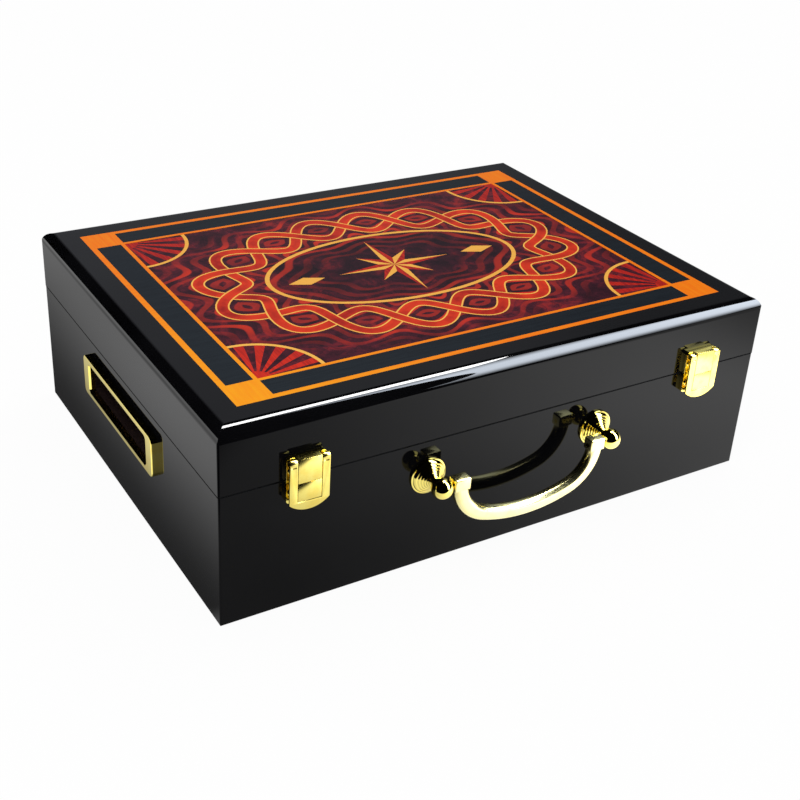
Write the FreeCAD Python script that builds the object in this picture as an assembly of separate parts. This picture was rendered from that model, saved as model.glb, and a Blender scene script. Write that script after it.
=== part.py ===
import FreeCAD, Part
import math
import os

# Poker chip storage box with a hinged lid, two latches, a drop handle, two
# recessed side pulls, fixed chip racks and two lift-out chip trays.
# Millimetres. The origin is at the centre of the underside, +Z is up, the
# front with the latches faces -Y, and +X is to the right seen from the front.

Vector = FreeCAD.Vector

# Case
base_length = 400.0
lid_height = 41.6
wall = 14.0
lid_overhang = 0.2
corner_round = 1.2
top_round = 8.0
seam_round = 0.4
foot_round = 1.0
bottom_thickness = 8.0
bottom_groove = 5.0
felt_thickness = 1.0
lining_thickness = 0.8
cut_over = 1.0
join_overlap = 0.5
screw_gap = 0.05
running_gap = 0.05
tip_gap = 0.3

# Lid top
frame_width = 21.2
ledge_width = 5.0
ledge_thickness = 3.0
panel_thickness = 5.2
veneer = 0.8
lining_board_thickness = 3.0
lining_board_gap = 1.0

# Inlay
outer_string = 4.0
inner_string = 2.7
corner_block = 23.9
picture_drop = 0.15
braid_margin = 10.2
braid_swing = 16.0
braid_waves = 8
braid_width = 9.0
braid_arcs_per_wave = 8
medallion_end_gap = 8.3
medallion_side_gap = 2.3
medallion_ring = 3.2
star_margin = 7.0
star_short = 28.0
star_waist = 11.5
star_points = 8
lozenge_length = 27.0
lozenge_width = 12.0
fan_radius = 44.0
fan_ring = 2.6
fan_rays = 5
fan_ray_share = 0.5
fan_hub = 9.0

# Chips and what holds them
chip_radius = 20.0
chip_clearance = 0.5
channel_ridge = 1.0
channel_count = 5
channel_floor = 3.0
ridge_drop = 3.3
rack_end = 5.0
tray_gap = 1.0
tray_seat_gap = 0.2
tray_end_rise = 9.0
tray_side = 2.5
tray_headroom = 5.4
finger_notch_width = 32.0
finger_notch_depth = 6.0
finger_notch_round = 4.8
divider_thickness = 4.0
gallery_wall_thickness = 5.0
gallery_partition = 4.0
card_well_width = 118.0
card_well_depth = 54.5
chip_top_gap = 0.7

# Side pull
pull_length = 122.8
pull_height = 28.8
pull_window_length = 102.0
pull_window_height = 19.8
pull_drop = 25.6
pull_proud = 4.0
pull_corner = 4.0
pull_window_corner = 2.0
pull_edge_round = 0.8
pull_inner_bevel = 1.2
cup_sheet = 1.2
cup_gap = 0.15
stud_radius = 1.5
stud_length = 9.0
stud_gap = 0.05

# Carry handle
post_spacing = 128.0
post_drop = 23.8
post_disc_radius = 12.2
post_disc_thickness = 1.6
post_bell_start_radius = 10.9
post_bell_start = 2.6
post_neck_radius = 2.9
post_neck_length = 0.4
post_ridges = 7
post_ridge_bulge = 0.18
post_bell_flare = 1.5
ball_radius = 6.8
ball_offset = 16.7
pivot_pin_radius = 1.5
pivot_pin_bury = 4.0
lug_gap = 0.5
lug_width = 11.0
lug_rise = 4.7
lug_drop = 3.5
lug_round = 0.8
bail_width = 10.0
bail_thickness = 8.0
bail_corner = 3.6
bail_bend_radius = 28.0
bail_bottom_radius = 100.0
post_screw_radius = 2.0
post_screw_depth = 7.0
post_screw_head_radius = 3.6
post_screw_head = 2.4
screw_slot_width = 0.8
screw_slot_depth = 0.8
washer_radius = 5.0
washer_thickness = 1.0
screw_well_depth = 4.0
screw_well_radius = 5.6

# Latches
latch_inset = 52.5
latch_width = 25.4
latch_block_width = 14.8
latch_plate_proud = 2.9
latch_proud = 7.2
latch_drop = 14.2
latch_seam_gap = 0.15
latch_plate_round = 2.0
flap_sheet = 1.3
flap_gap = 0.3
flap_bottom_drop = 18.1
flap_corner_drop = 13.0
flap_window_drop = 12.2
flap_axis_rise = 13.6
flap_knuckle_radius = 2.0
flap_pin_radius = 1.2
flap_lip_height = 1.8
flap_lip_reach = 2.4
flap_lip_half = 7.0
flap_mark_width = 3.2
flap_mark_height = 0.6
flap_mark_depth = 0.5
flap_mark_drop = 2.0
latch_screw_radius = 1.0
latch_screw_head_radius = 1.9
latch_screw_head = 1.1
latch_screw_dome = 0.8
latch_screw_length = 8.0
latch_screw_inset = 2.6
latch_screw_rise = 7.0

# Hinges
hinge_inset = 75.0
hinge_width = 60.0
leaf_height = 17.0
leaf_thickness = 1.6
hinge_axis_offset = 4.3
knuckle_radius = 2.6
hinge_pin_radius = 1.2
knuckle_count = 5
knuckle_gap = 0.3
leaf_seam_gap = 0.3
stop_lip_reach = 7.0
stop_lip_drop = 1.0
stop_lip_root = 1.6
open_angle = 95.0
hinge_screw_radius = 1.2
hinge_screw_head_radius = 2.5
hinge_screw_cone = 1.3
hinge_screw_length = 9.0
hinge_screw_spacing = 21.0
hinge_screw_drop = 11.5
hinge_screw_count = 3

# Sizes that follow from the ones above: the case is built round its contents
floor_z = felt_thickness + bottom_thickness + lining_thickness
channel_radius = chip_radius + chip_clearance
channel_pitch = 2 * channel_radius + channel_ridge
rack_depth = channel_count * channel_pitch + 2 * (tray_side + tray_gap)
rack_axis_z = floor_z + channel_floor + channel_radius
rack_ridge_z = rack_axis_z - ridge_drop
rack_top_z = rack_axis_z + chip_radius + chip_top_gap
tray_bottom_z = rack_top_z + tray_seat_gap
tray_axis_z = tray_bottom_z + channel_floor + channel_radius
tray_ridge_z = tray_axis_z - ridge_drop
tray_top_z = tray_ridge_z + tray_end_rise
seam_height = tray_top_z + tray_headroom
case_height = seam_height + lid_height
base_depth = rack_depth + gallery_wall_thickness + card_well_depth + 2 * wall
lid_length = base_length + 2 * lid_overhang
lid_depth = base_depth + 2 * lid_overhang
inner_x = base_length / 2 - wall
inner_y = base_depth / 2 - wall
lid_wall = wall + lid_overhang
front_face = -base_depth / 2
back_face = base_depth / 2
lid_front_face = -lid_depth / 2
lid_back_face = lid_depth / 2
rack_back_y = inner_y
rack_front_y = rack_back_y - rack_depth
gallery_wall_y = rack_front_y - gallery_wall_thickness
veneer_z = case_height - veneer
picture_z = case_height - picture_drop
panel_z = veneer_z - panel_thickness
ledge_z = panel_z - ledge_thickness
inlay_x = lid_length / 2 - frame_width
inlay_y = lid_depth / 2 - frame_width
ground_x = inlay_x - corner_block
ground_y = inlay_y - corner_block
braid_reach = braid_swing + braid_width / 2
braid_half_x = ground_x - braid_margin - braid_reach
braid_half_y = ground_y - braid_margin - braid_reach
medallion_x = braid_half_x - braid_reach - medallion_end_gap - medallion_ring
medallion_y = braid_half_y - braid_reach - medallion_side_gap - medallion_ring
star_long = medallion_y - star_margin
lozenge_center = (star_long + medallion_x) / 2
pull_center_z = seam_height - pull_drop
post_z = seam_height - post_drop
ball_seat = math.sqrt(ball_radius ** 2 - post_neck_radius ** 2)
post_bell_end = ball_offset - ball_seat - post_neck_length
pivot_y = front_face - ball_offset
latch_bottom_z = seam_height - latch_drop
latch_front_y = front_face - latch_proud
latch_plate_y = front_face - latch_plate_proud
flap_bottom_z = seam_height - flap_bottom_drop
flap_corner_z = seam_height - flap_corner_drop
flap_window_z = seam_height - flap_window_drop
flap_axis_z = seam_height + flap_axis_rise
flap_axis_y = latch_front_y + flap_knuckle_radius
hinge_axis_y = back_face + hinge_axis_offset

# How close an edge must be to count as lying on a face
tiny = 0.01


def box(x0, x1, y0, y1, z0, z1):
    """A block between two corners."""
    return Part.makeBox(x1 - x0, y1 - y0, z1 - z0, Vector(x0, y0, z0))


def cylinder(radius, start, direction, length):
    """A round bar from a start point along a direction."""
    return Part.makeCylinder(radius, length, start, direction)


def fuse(shapes):
    """One solid from several that overlap or touch."""
    return shapes[0].fuse(list(shapes[1:])).removeSplitter()


def solids(shapes):
    """Several separate solids kept together as one sub-part."""
    return Part.makeCompound(list(shapes))


def mirrored_x(shape):
    """The same shape on the other side of the middle plane."""
    return shape.mirror(Vector(0, 0, 0), Vector(1, 0, 0))


def moved(shape, x=0.0, y=0.0, z=0.0):
    """A copy of a shape, shifted."""
    copy = shape.copy()
    copy.translate(Vector(x, y, z))
    return copy


def edges_along(shape, axis):
    """The straight edges of a shape that run along an axis, given as x, y or z."""
    return [
        edge
        for edge in shape.Edges
        if edge.Length > 0 and abs(getattr(edge.tangentAt(edge.FirstParameter), axis)) > 0.9
    ]


class Outline:
    """A closed outline of lines and arcs, drawn in two coordinates."""

    def __init__(self, place, start):
        self.place = place
        self.start = start
        self.last = start
        self.edges = []

    def line(self, *points):
        """Straight on to each point in turn."""
        for point in points:
            self.edges.append(Part.LineSegment(self.place(*self.last), self.place(*point)).toShape())
            self.last = point
        return self

    def arc(self, middle, end):
        """An arc through a middle point to an end point."""
        arc = Part.Arc(self.place(*self.last), self.place(*middle), self.place(*end))
        self.edges.append(arc.toShape())
        self.last = end
        return self

    def face(self):
        """The flat face inside the outline."""
        if self.last != self.start:
            self.line(self.start)
        return Part.Face(Part.Wire(self.edges))


def quarter(center, radius, angle):
    """The middle point of a quarter arc whose middle lies at an angle in degrees."""
    turn = math.radians(angle)
    return (center[0] + radius * math.cos(turn), center[1] + radius * math.sin(turn))


def polygon(points, z0, z1):
    """An upright prism over a flat polygon."""
    corners = [Vector(x, y, z0) for x, y in points]
    wire = Part.makePolygon(corners + corners[:1])
    return Part.Face(wire).extrude(Vector(0, 0, z1 - z0))


def rounded_block(half_x, half_y, radius, z0, z1):
    """An upright block whose four upright edges are rounded."""
    block = box(-half_x, half_x, -half_y, half_y, z0, z1)
    return block.makeFillet(radius, edges_along(block, "z"))


def mitred_frame(length, depth, section, reach, corners):
    """Four mitred members round a rectangle: front, back, left and right.

    section draws the member's outline from (distance inwards, height) pairs,
    and corners is the block that rounds the frame's upright edges.
    """
    high = case_height + wall
    members = []
    for half_run, half_out in ((length / 2, depth / 2), (depth / 2, length / 2)):
        face = section(lambda t, z: Vector(-half_run, -half_out + t, z))
        bar = face.extrude(Vector(2 * half_run, 0, 0))
        wedge = polygon(
            [
                (-half_run, -half_out),
                (half_run, -half_out),
                (half_run - reach, -half_out + reach),
                (-half_run + reach, -half_out + reach),
            ],
            -wall,
            high,
        )
        members.append(bar.common(wedge))
    long_member, short_member = members
    turned = [
        long_member,
        rotated_z(long_member, 180),
        rotated_z(short_member, -90),
        rotated_z(short_member, 90),
    ]
    return [member.common(corners) for member in turned]


def rotated_z(shape, angle):
    """A copy turned about the upright axis through the origin."""
    copy = shape.copy()
    copy.rotate(Vector(0, 0, 0), Vector(0, 0, 1), angle)
    return copy


def base_wall_section(place):
    """Outline of a base wall: flat sides, eased outer edges."""
    top = seam_height
    outline = Outline(place, (0, foot_round))
    outline.line((0, top - seam_round))
    outline.arc(quarter((seam_round, top - seam_round), seam_round, 135), (seam_round, top))
    outline.line((wall, top), (wall, 0), (foot_round, 0))
    outline.arc(quarter((foot_round, foot_round), foot_round, 225), (0, foot_round))
    return outline.face()


def lid_rail_section(place):
    """Outline of a lid rail: eased seam edge, round top edge, rebate for the panel."""
    top = case_height
    reach = frame_width + ledge_width
    outline = Outline(place, (0, seam_height + seam_round))
    outline.line((0, top - top_round))
    outline.arc(quarter((top_round, top - top_round), top_round, 135), (top_round, top))
    outline.line((frame_width, top), (frame_width, panel_z), (reach, panel_z), (reach, ledge_z))
    outline.line((lid_wall, ledge_z), (lid_wall, seam_height), (seam_round, seam_height))
    middle = quarter((seam_round, seam_height + seam_round), seam_round, 225)
    outline.arc(middle, (0, seam_height + seam_round))
    return outline.face()


def pull_outline(length, height, corner, x0, x1):
    """A block for the side pull on the right, lying along Y, with rounded corners."""
    z0 = pull_center_z - height / 2
    z1 = pull_center_z + height / 2
    block = box(x0, x1, -length / 2, length / 2, z0, z1)
    return block.makeFillet(corner, edges_along(block, "x"))


def side_pulls():
    """The bezel and pocket cup of the right side pull."""
    face = base_length / 2
    front_x = face + pull_proud
    length, height = pull_window_length, pull_window_height
    bezel = pull_outline(pull_length, pull_height, pull_corner, face, front_x)
    front = [edge for edge in bezel.Edges if edge.BoundBox.XMin > front_x - tiny]
    bezel = bezel.makeFillet(pull_edge_round, front)
    window = pull_outline(length, height, pull_window_corner, face - cut_over, front_x + cut_over)
    bezel = bezel.cut(window)
    inner_edges = [
        edge
        for edge in bezel.Edges
        if edge.BoundBox.XMin > front_x - tiny
        and abs(edge.CenterOfMass.y) < length / 2 + tiny
        and abs(edge.CenterOfMass.z - pull_center_z) < height / 2 + tiny
    ]
    bezel = bezel.makeChamfer(pull_inner_bevel, inner_edges)
    bezel = fuse([bezel] + studs(stud_radius, stud_length))
    cup_length = length + 2 * cup_sheet
    cup_height = height + 2 * cup_sheet
    cup = pull_outline(cup_length, cup_height, pull_window_corner + cup_sheet, face - wall, face)
    pocket = pull_outline(length, height, pull_window_corner, face - wall + cup_sheet, face + cut_over)
    return bezel, cup.cut(pocket)


def studs(radius, length):
    """The two plain studs from the back of the right bezel into the wall."""
    x = base_length / 2 + pull_proud / 2
    y = (pull_length + pull_window_length) / 4
    inwards = Vector(-1, 0, 0)
    reach = length + pull_proud / 2
    return [cylinder(radius, Vector(x, side * y, pull_center_z), inwards, reach) for side in (-1, 1)]


def pull_holes():
    """What is cut from the right wall for its side pull."""
    face = base_length / 2
    cup_length = pull_window_length + 2 * (cup_sheet + cup_gap)
    cup_height = pull_window_height + 2 * (cup_sheet + cup_gap)
    corner = pull_window_corner + cup_sheet + cup_gap
    hole = pull_outline(cup_length, cup_height, corner, face - wall - cut_over, face + cut_over)
    return [hole] + studs(stud_radius + stud_gap, stud_length + tip_gap)


def handle_post():
    """The right turned post: disc, ridged bell, neck and ball."""
    outline = Outline(lambda r, d: Vector(r, -d, 0), (0, 0))
    edge = post_disc_radius
    outline.line((edge, 0), (edge, post_disc_thickness))
    rim = post_bell_start - post_disc_thickness
    rim_step = edge - post_bell_start_radius
    turn = math.radians(45)
    rim_middle = (edge - rim_step * (1 - math.cos(turn)), post_disc_thickness + rim * math.sin(turn))
    outline.arc(rim_middle, (post_bell_start_radius, post_bell_start))
    for ridge in range(1, post_ridges + 1):
        end = bell_point(ridge / post_ridges)
        start = outline.last
        run = (end[0] - start[0], end[1] - start[1])
        size = math.hypot(*run)
        bulge = (post_ridge_bulge * run[1] / size, -post_ridge_bulge * run[0] / size)
        middle = ((start[0] + end[0]) / 2 + bulge[0], (start[1] + end[1]) / 2 + bulge[1])
        outline.arc(middle, end)
    outline.line((post_neck_radius, post_bell_end + post_neck_length))
    outline.arc((ball_radius, ball_offset), (0, ball_offset + ball_radius))
    post = outline.face().revolve(Vector(0, 0, 0), Vector(0, 1, 0), 360)
    screw_depth = post_screw_depth + tip_gap
    screw_hole = cylinder(post_screw_radius + screw_gap, Vector(0, 0, 0), Vector(0, -1, 0), screw_depth)
    pin_start = Vector(-ball_radius - cut_over, -ball_offset, 0)
    pin_depth = cut_over + pivot_pin_bury + tip_gap
    pin_hole = cylinder(pivot_pin_radius + running_gap, pin_start, Vector(1, 0, 0), pin_depth)
    post = post.cut([screw_hole, pin_hole])
    return moved(post, post_spacing / 2, front_face, post_z)


def bell_point(share):
    """A point of the bell's flared side, from its wide start (0) to the neck (1)."""
    flare = (1 - share) ** post_bell_flare
    radius = post_neck_radius + (post_bell_start_radius - post_neck_radius) * flare
    offset = post_bell_start + (post_bell_end - post_bell_start) * share
    return (radius, offset)


def lug_span():
    """The lug's inner and outer distance from the middle plane."""
    outer = post_spacing / 2 - ball_radius - lug_gap
    return outer - lug_width, outer


def pivot_pin():
    """The right pivot pin, from inside the ball through the lug."""
    inner, _ = lug_span()
    end = post_spacing / 2 - ball_radius + pivot_pin_bury
    start = Vector(inner, pivot_y, post_z)
    return cylinder(pivot_pin_radius, start, Vector(1, 0, 0), end - inner)


def carry_bail():
    """The drop handle: two lugs and one bar bent between them."""
    inner, outer = lug_span()
    leg_x = (inner + outer) / 2
    bend_x = leg_x - bail_bend_radius
    slope = math.asin(bend_x / (bail_bottom_radius - bail_bend_radius))
    reach = bail_bottom_radius * math.sin(slope)
    join_z = post_z - bail_bend_radius * math.cos(slope)
    bottom_z = join_z - bail_bottom_radius * (1 - math.cos(slope))
    turn = (slope + math.pi / 2) / 2
    middle_x = bend_x + bail_bend_radius * math.sin(turn)
    middle_z = post_z - bail_bend_radius * math.cos(turn)

    def at(x, z):
        return Vector(x, pivot_y, z)

    path = Part.Wire(
        [
            Part.Arc(at(-leg_x, post_z), at(-middle_x, middle_z), at(-reach, join_z)).toShape(),
            Part.Arc(at(-reach, join_z), at(0, bottom_z), at(reach, join_z)).toShape(),
            Part.Arc(at(reach, join_z), at(middle_x, middle_z), at(leg_x, post_z)).toShape(),
        ]
    )
    half_w = bail_width / 2
    half_t = bail_thickness / 2
    back_y = pivot_y + half_t
    block = box(-leg_x - half_w, -leg_x + half_w, pivot_y - half_t, back_y, post_z - cut_over, post_z)
    faces = block.makeFillet(bail_corner, edges_along(block, "z")).Faces
    section = max(faces, key=lambda face: face.CenterOfMass.z).OuterWire
    bar = path.makePipeShell([section], True, False)
    lug = box(inner, outer, pivot_y - half_t, back_y, post_z - lug_drop, post_z + lug_rise)
    lug = lug.makeFillet(lug_round, lug.Edges)
    bore_start = at(inner - cut_over, post_z)
    bore = cylinder(pivot_pin_radius + running_gap, bore_start, Vector(1, 0, 0), lug_width + 2 * cut_over)
    return fuse([bar, lug, mirrored_x(lug)]).cut([bore, mirrored_x(bore)])


def post_screw_parts():
    """The right post's fixing screw and washer, and the holes they need in the front wall."""
    x = post_spacing / 2
    seat = front_face + wall - screw_well_depth
    out = Vector(0, -1, 0)
    inwards = Vector(0, 1, 0)
    hole_start = Vector(x, seat + washer_thickness + cut_over, post_z)
    hole = cylinder(post_screw_radius + screw_gap, hole_start, out, wall + 2 * cut_over)
    washer = cylinder(washer_radius, Vector(x, seat, post_z), inwards, washer_thickness)
    head_y = seat + washer_thickness
    head = cylinder(post_screw_head_radius, Vector(x, head_y, post_z), inwards, post_screw_head)
    shank_length = head_y - front_face + post_screw_depth
    shank = cylinder(post_screw_radius, Vector(x, head_y, post_z), out, shank_length)
    half_slot = screw_slot_width / 2
    half_run = post_screw_head_radius + cut_over
    top = head_y + post_screw_head
    slot_y = (top - screw_slot_depth, top + cut_over)
    slot = box(x - half_slot, x + half_slot, *slot_y, post_z - half_run, post_z + half_run)
    well = cylinder(screw_well_radius, Vector(x, seat, post_z), inwards, screw_well_depth + cut_over)
    return fuse([head, shank]).cut(slot), washer.cut(hole), [well, hole]


def latch_screws(z):
    """Two round-head screws through a latch plate, and the pilot holes in the wood."""
    screws = []
    holes = []
    for side in (-1, 1):
        x = side * (latch_width / 2 - latch_screw_inset)
        seat = Vector(x, latch_plate_y, z)
        shank = cylinder(latch_screw_radius, seat, Vector(0, 1, 0), latch_screw_length)
        head = cylinder(latch_screw_head_radius, seat, Vector(0, -1, 0), latch_screw_head)
        rim = [edge for edge in head.Edges if edge.BoundBox.YMax < latch_plate_y - latch_screw_head + tiny]
        head = head.makeFillet(latch_screw_dome, rim)
        screws.append(fuse([head, shank]))
        start = Vector(x, latch_plate_y - cut_over, z)
        depth = cut_over + latch_screw_length + tip_gap
        holes.append(cylinder(latch_screw_radius + screw_gap, start, Vector(0, 1, 0), depth))
    return screws, holes


def latch_plate(back_y, z0, z1, block_z0, block_z1, round_z):
    """A latch plate with its raised middle block, two of its corners rounded."""
    half = latch_width / 2
    plate = box(-half, half, latch_plate_y, back_y, z0, z1)
    corners = [edge for edge in edges_along(plate, "y") if abs(edge.CenterOfMass.z - round_z) < tiny]
    plate = plate.makeFillet(latch_plate_round, corners)
    half_block = latch_block_width / 2
    block = box(-half_block, half_block, latch_front_y, latch_plate_y + join_overlap, block_z0, block_z1)
    return fuse([plate, block])


def flap():
    """The latch flap: a U-shaped sheet with a knuckle at the top of each leg and a lip below."""
    half = latch_width / 2
    leg_inner = latch_block_width / 2 + flap_gap
    outline = Outline(lambda x, z: Vector(x, latch_front_y, z), (-half, flap_axis_z))
    outline.line((-half, flap_corner_z))
    outline.arc((0, flap_bottom_z), (half, flap_corner_z))
    outline.line((half, flap_axis_z), (leg_inner, flap_axis_z), (leg_inner, flap_window_z))
    outline.line((-leg_inner, flap_window_z), (-leg_inner, flap_axis_z))
    sheet = outline.face().extrude(Vector(0, flap_sheet, 0))
    knuckles = []
    bores = []
    marks = []
    for side in (-1, 1):
        start_x = min(side * leg_inner, side * half)
        start = Vector(start_x, flap_axis_y, flap_axis_z)
        knuckles.append(cylinder(flap_knuckle_radius, start, Vector(1, 0, 0), half - leg_inner))
        bore_start = Vector(start_x - cut_over, flap_axis_y, flap_axis_z)
        bore_length = half - leg_inner + 2 * cut_over
        bores.append(cylinder(flap_pin_radius + running_gap, bore_start, Vector(1, 0, 0), bore_length))
        x = side * (half + leg_inner) / 2
        z = flap_axis_z - flap_mark_drop
        half_mark = flap_mark_width / 2
        mark_y = (latch_front_y - cut_over, latch_front_y + flap_mark_depth)
        marks.append(box(x - half_mark, x + half_mark, *mark_y, z - flap_mark_height, z))
    lip_y = latch_front_y + flap_sheet
    lip_z = flap_window_z - flap_lip_height
    half_lip = flap_lip_half
    lip = box(-half_lip, half_lip, lip_y - join_overlap, lip_y + flap_lip_reach, lip_z, flap_window_z)
    return fuse([sheet, lip] + knuckles).cut(bores + marks)


def latch():
    """One latch about the middle plane: its sub-parts and the pilot holes for its screws."""
    block_top = flap_axis_z + flap_knuckle_radius
    lid_z0 = seam_height + latch_seam_gap
    base_z1 = seam_height - latch_seam_gap
    lid_plate = latch_plate(lid_front_face, lid_z0, block_top, lid_z0, block_top, block_top)
    base_block_z0 = flap_window_z + flap_gap
    base_plate = latch_plate(front_face, latch_bottom_z, base_z1, base_block_z0, base_z1, latch_bottom_z)
    pin_start = Vector(-latch_width / 2, flap_axis_y, flap_axis_z)
    pin = cylinder(flap_pin_radius, pin_start, Vector(1, 0, 0), latch_width)
    hole_start = pin_start - Vector(cut_over, 0, 0)
    hole_length = latch_width + 2 * cut_over
    pin_hole = cylinder(flap_pin_radius + running_gap, hole_start, Vector(1, 0, 0), hole_length)
    lid_screws, lid_holes = latch_screws(lid_z0 + latch_screw_rise)
    base_screws, base_holes = latch_screws(base_z1 - latch_screw_rise)
    return {
        "lid_plate": lid_plate.cut([pin_hole] + lid_holes),
        "base_plate": base_plate.cut(base_holes),
        "flap": flap(),
        "pin": pin,
        "lid_screws": lid_screws,
        "base_screws": base_screws,
        "lid_holes": lid_holes,
        "base_holes": base_holes,
    }


def knuckle_span(index):
    """The start and length of one hinge knuckle along the hinge."""
    pitch = (hinge_width + knuckle_gap) / knuckle_count
    return -hinge_width / 2 + index * pitch, pitch - knuckle_gap


def leaf(back_y, up, indices):
    """A hinge leaf about the middle plane: plate, webs to the barrel, knuckles and screw seats."""
    plate_z = sorted((seam_height + up * leaf_seam_gap, seam_height + up * leaf_height))
    half = hinge_width / 2
    plate = box(-half, half, back_y, back_y + leaf_thickness, *plate_z)
    pieces = [plate]
    web_z = sorted((seam_height + up * leaf_seam_gap, seam_height + up * knuckle_radius))
    cuts = []
    for index in range(knuckle_count):
        start, length = knuckle_span(index)
        if index in indices:
            pieces.append(box(start, start + length, back_y, hinge_axis_y, *web_z))
            barrel_start = Vector(start, hinge_axis_y, seam_height)
            pieces.append(cylinder(knuckle_radius, barrel_start, Vector(1, 0, 0), length))
        else:
            swing_start = Vector(start - knuckle_gap, hinge_axis_y, seam_height)
            swing_length = length + 2 * knuckle_gap
            cuts.append(cylinder(knuckle_radius + knuckle_gap, swing_start, Vector(1, 0, 0), swing_length))
    bore_start = Vector(-half - cut_over, hinge_axis_y, seam_height)
    bore_length = hinge_width + 2 * cut_over
    cuts.append(cylinder(hinge_pin_radius + running_gap, bore_start, Vector(1, 0, 0), bore_length))
    return pieces, cuts


def stop_lip(index):
    """The lip on a base knuckle that the open lid leaf comes to rest on."""
    start, length = knuckle_span(index)
    turn = math.radians(open_angle)
    leaf_face = back_face + lid_overhang + leaf_thickness - hinge_axis_y

    def rest_height(reach):
        return (reach * math.cos(turn) - leaf_face) / math.sin(turn)

    points = [
        (stop_lip_root, -stop_lip_drop),
        (stop_lip_reach, -stop_lip_drop),
        (stop_lip_reach, rest_height(stop_lip_reach) - running_gap),
        (stop_lip_root, rest_height(stop_lip_root) - running_gap),
    ]
    corners = [Vector(start, hinge_axis_y + y, seam_height + z) for y, z in points]
    return Part.Face(Part.makePolygon(corners + corners[:1])).extrude(Vector(length, 0, 0))


def hinge_screws(back_y, up):
    """Countersunk hinge screws, and the seats and pilot holes they need."""
    screws = []
    seats = []
    z = seam_height + up * hinge_screw_drop
    front_y = back_y + leaf_thickness
    inwards = Vector(0, -1, 0)
    for index in range(hinge_screw_count):
        x = (index - (hinge_screw_count - 1) / 2) * hinge_screw_spacing
        screws.append(countersunk(Vector(x, front_y, z), inwards, 0.0))
        seats.append(countersunk(Vector(x, front_y, z), inwards, screw_gap))
    return screws, seats


def countersunk(seat, direction, gap):
    """A countersunk screw, or with a gap the space cut for it."""
    head = hinge_screw_head_radius + gap
    shank = hinge_screw_radius + gap
    cone = Part.makeCone(head, shank, hinge_screw_cone, seat, direction)
    tip = tip_gap if gap else 0.0
    return fuse([cone, cylinder(shank, seat, direction, hinge_screw_length + tip)])


def hinge():
    """One hinge about the middle plane: its sub-parts and the pilot holes for its screws."""
    base_indices = [index for index in range(knuckle_count) if index % 2]
    lid_indices = [index for index in range(knuckle_count) if not index % 2]
    base_pieces, base_cuts = leaf(back_face, -1, base_indices)
    lid_pieces, lid_cuts = leaf(lid_back_face, 1, lid_indices)
    base_pieces += [stop_lip(index) for index in base_indices]
    base_screws, base_seats = hinge_screws(back_face, -1)
    lid_screws, lid_seats = hinge_screws(lid_back_face, 1)
    pin_start = Vector(-hinge_width / 2, hinge_axis_y, seam_height)
    return {
        "base_leaf": fuse(base_pieces).cut(base_cuts + base_seats),
        "lid_leaf": fuse(lid_pieces).cut(lid_cuts + lid_seats),
        "pin": cylinder(hinge_pin_radius, pin_start, Vector(1, 0, 0), hinge_width),
        "base_screws": base_screws,
        "lid_screws": lid_screws,
        "base_seats": base_seats,
        "lid_seats": lid_seats,
    }


def channels(x0, x1, axis_z, first_y):
    """The half-round chip channels, as round bars to cut away."""
    bars = []
    for index in range(channel_count):
        y = first_y + (index + 0.5) * channel_pitch
        bars.append(cylinder(channel_radius, Vector(x0, y, axis_z), Vector(1, 0, 0), x1 - x0))
    return bars


def chip_rack():
    """The right fixed rack: a bed with half-round channels between two end boards."""
    x0 = divider_thickness / 2
    x1 = inner_x
    bed = box(x0 + rack_end, x1 - rack_end, rack_front_y, rack_back_y, floor_z, rack_ridge_z)
    first_y = (rack_front_y + rack_back_y - channel_count * channel_pitch) / 2
    bed = bed.cut(channels(x0, x1, rack_axis_z, first_y))
    ends = [
        box(x, x + rack_end, rack_front_y, rack_back_y, floor_z, rack_top_z)
        for x in (x0, x1 - rack_end)
    ]
    return bed, ends


def chip_tray():
    """The right lift-out tray: a bed with half-round channels and two notched ends."""
    x0 = divider_thickness / 2 + tray_gap
    x1 = inner_x - tray_gap
    y0 = rack_front_y + tray_gap
    y1 = rack_back_y - tray_gap
    block = box(x0, x1, y0, y1, tray_bottom_z, tray_top_z)
    high_z = tray_top_z + cut_over
    well = box(x0 + rack_end, x1 - rack_end, y0 - cut_over, y1 + cut_over, tray_ridge_z, high_z)
    first_y = (y0 + y1 - channel_count * channel_pitch) / 2
    grooves = channels(x0 + rack_end, x1 - rack_end, tray_axis_z, first_y)
    middle_y = (y0 + y1) / 2
    half = finger_notch_width / 2
    notch_z = tray_top_z - finger_notch_depth
    notch = box(x0 - cut_over, x1 + cut_over, middle_y - half, middle_y + half, notch_z, high_z)
    lower = [edge for edge in edges_along(notch, "x") if edge.BoundBox.ZMax < tray_top_z]
    notch = notch.makeFillet(finger_notch_round, lower)
    return block.cut([well, notch] + grooves)


def gallery():
    """The gallery in front of the racks: its wall, two partitions and the middle divider."""
    wall_board = box(-inner_x, inner_x, gallery_wall_y, rack_front_y, floor_z, tray_top_z)
    partition_x = inner_x - card_well_width
    right = box(
        partition_x - gallery_partition, partition_x, -inner_y, gallery_wall_y, floor_z, tray_top_z
    )
    half = divider_thickness / 2
    divider = box(-half, half, rack_front_y, rack_back_y, floor_z, tray_top_z)
    return wall_board, solids([right, mirrored_x(right)]), divider


def veneer_box(x0, x1, y0, y1):
    """A rectangular veneer piece of the border, level with the lid's top."""
    return box(x0, x1, y0, y1, veneer_z, case_height)


def picture_piece(points):
    """A veneer piece of the picture over a flat polygon."""
    return polygon(points, veneer_z, picture_z)


def picture_disc(x, y, radius):
    """A round veneer piece of the picture."""
    return cylinder(radius, Vector(x, y, veneer_z), Vector(0, 0, 1), picture_z - veneer_z)


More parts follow.
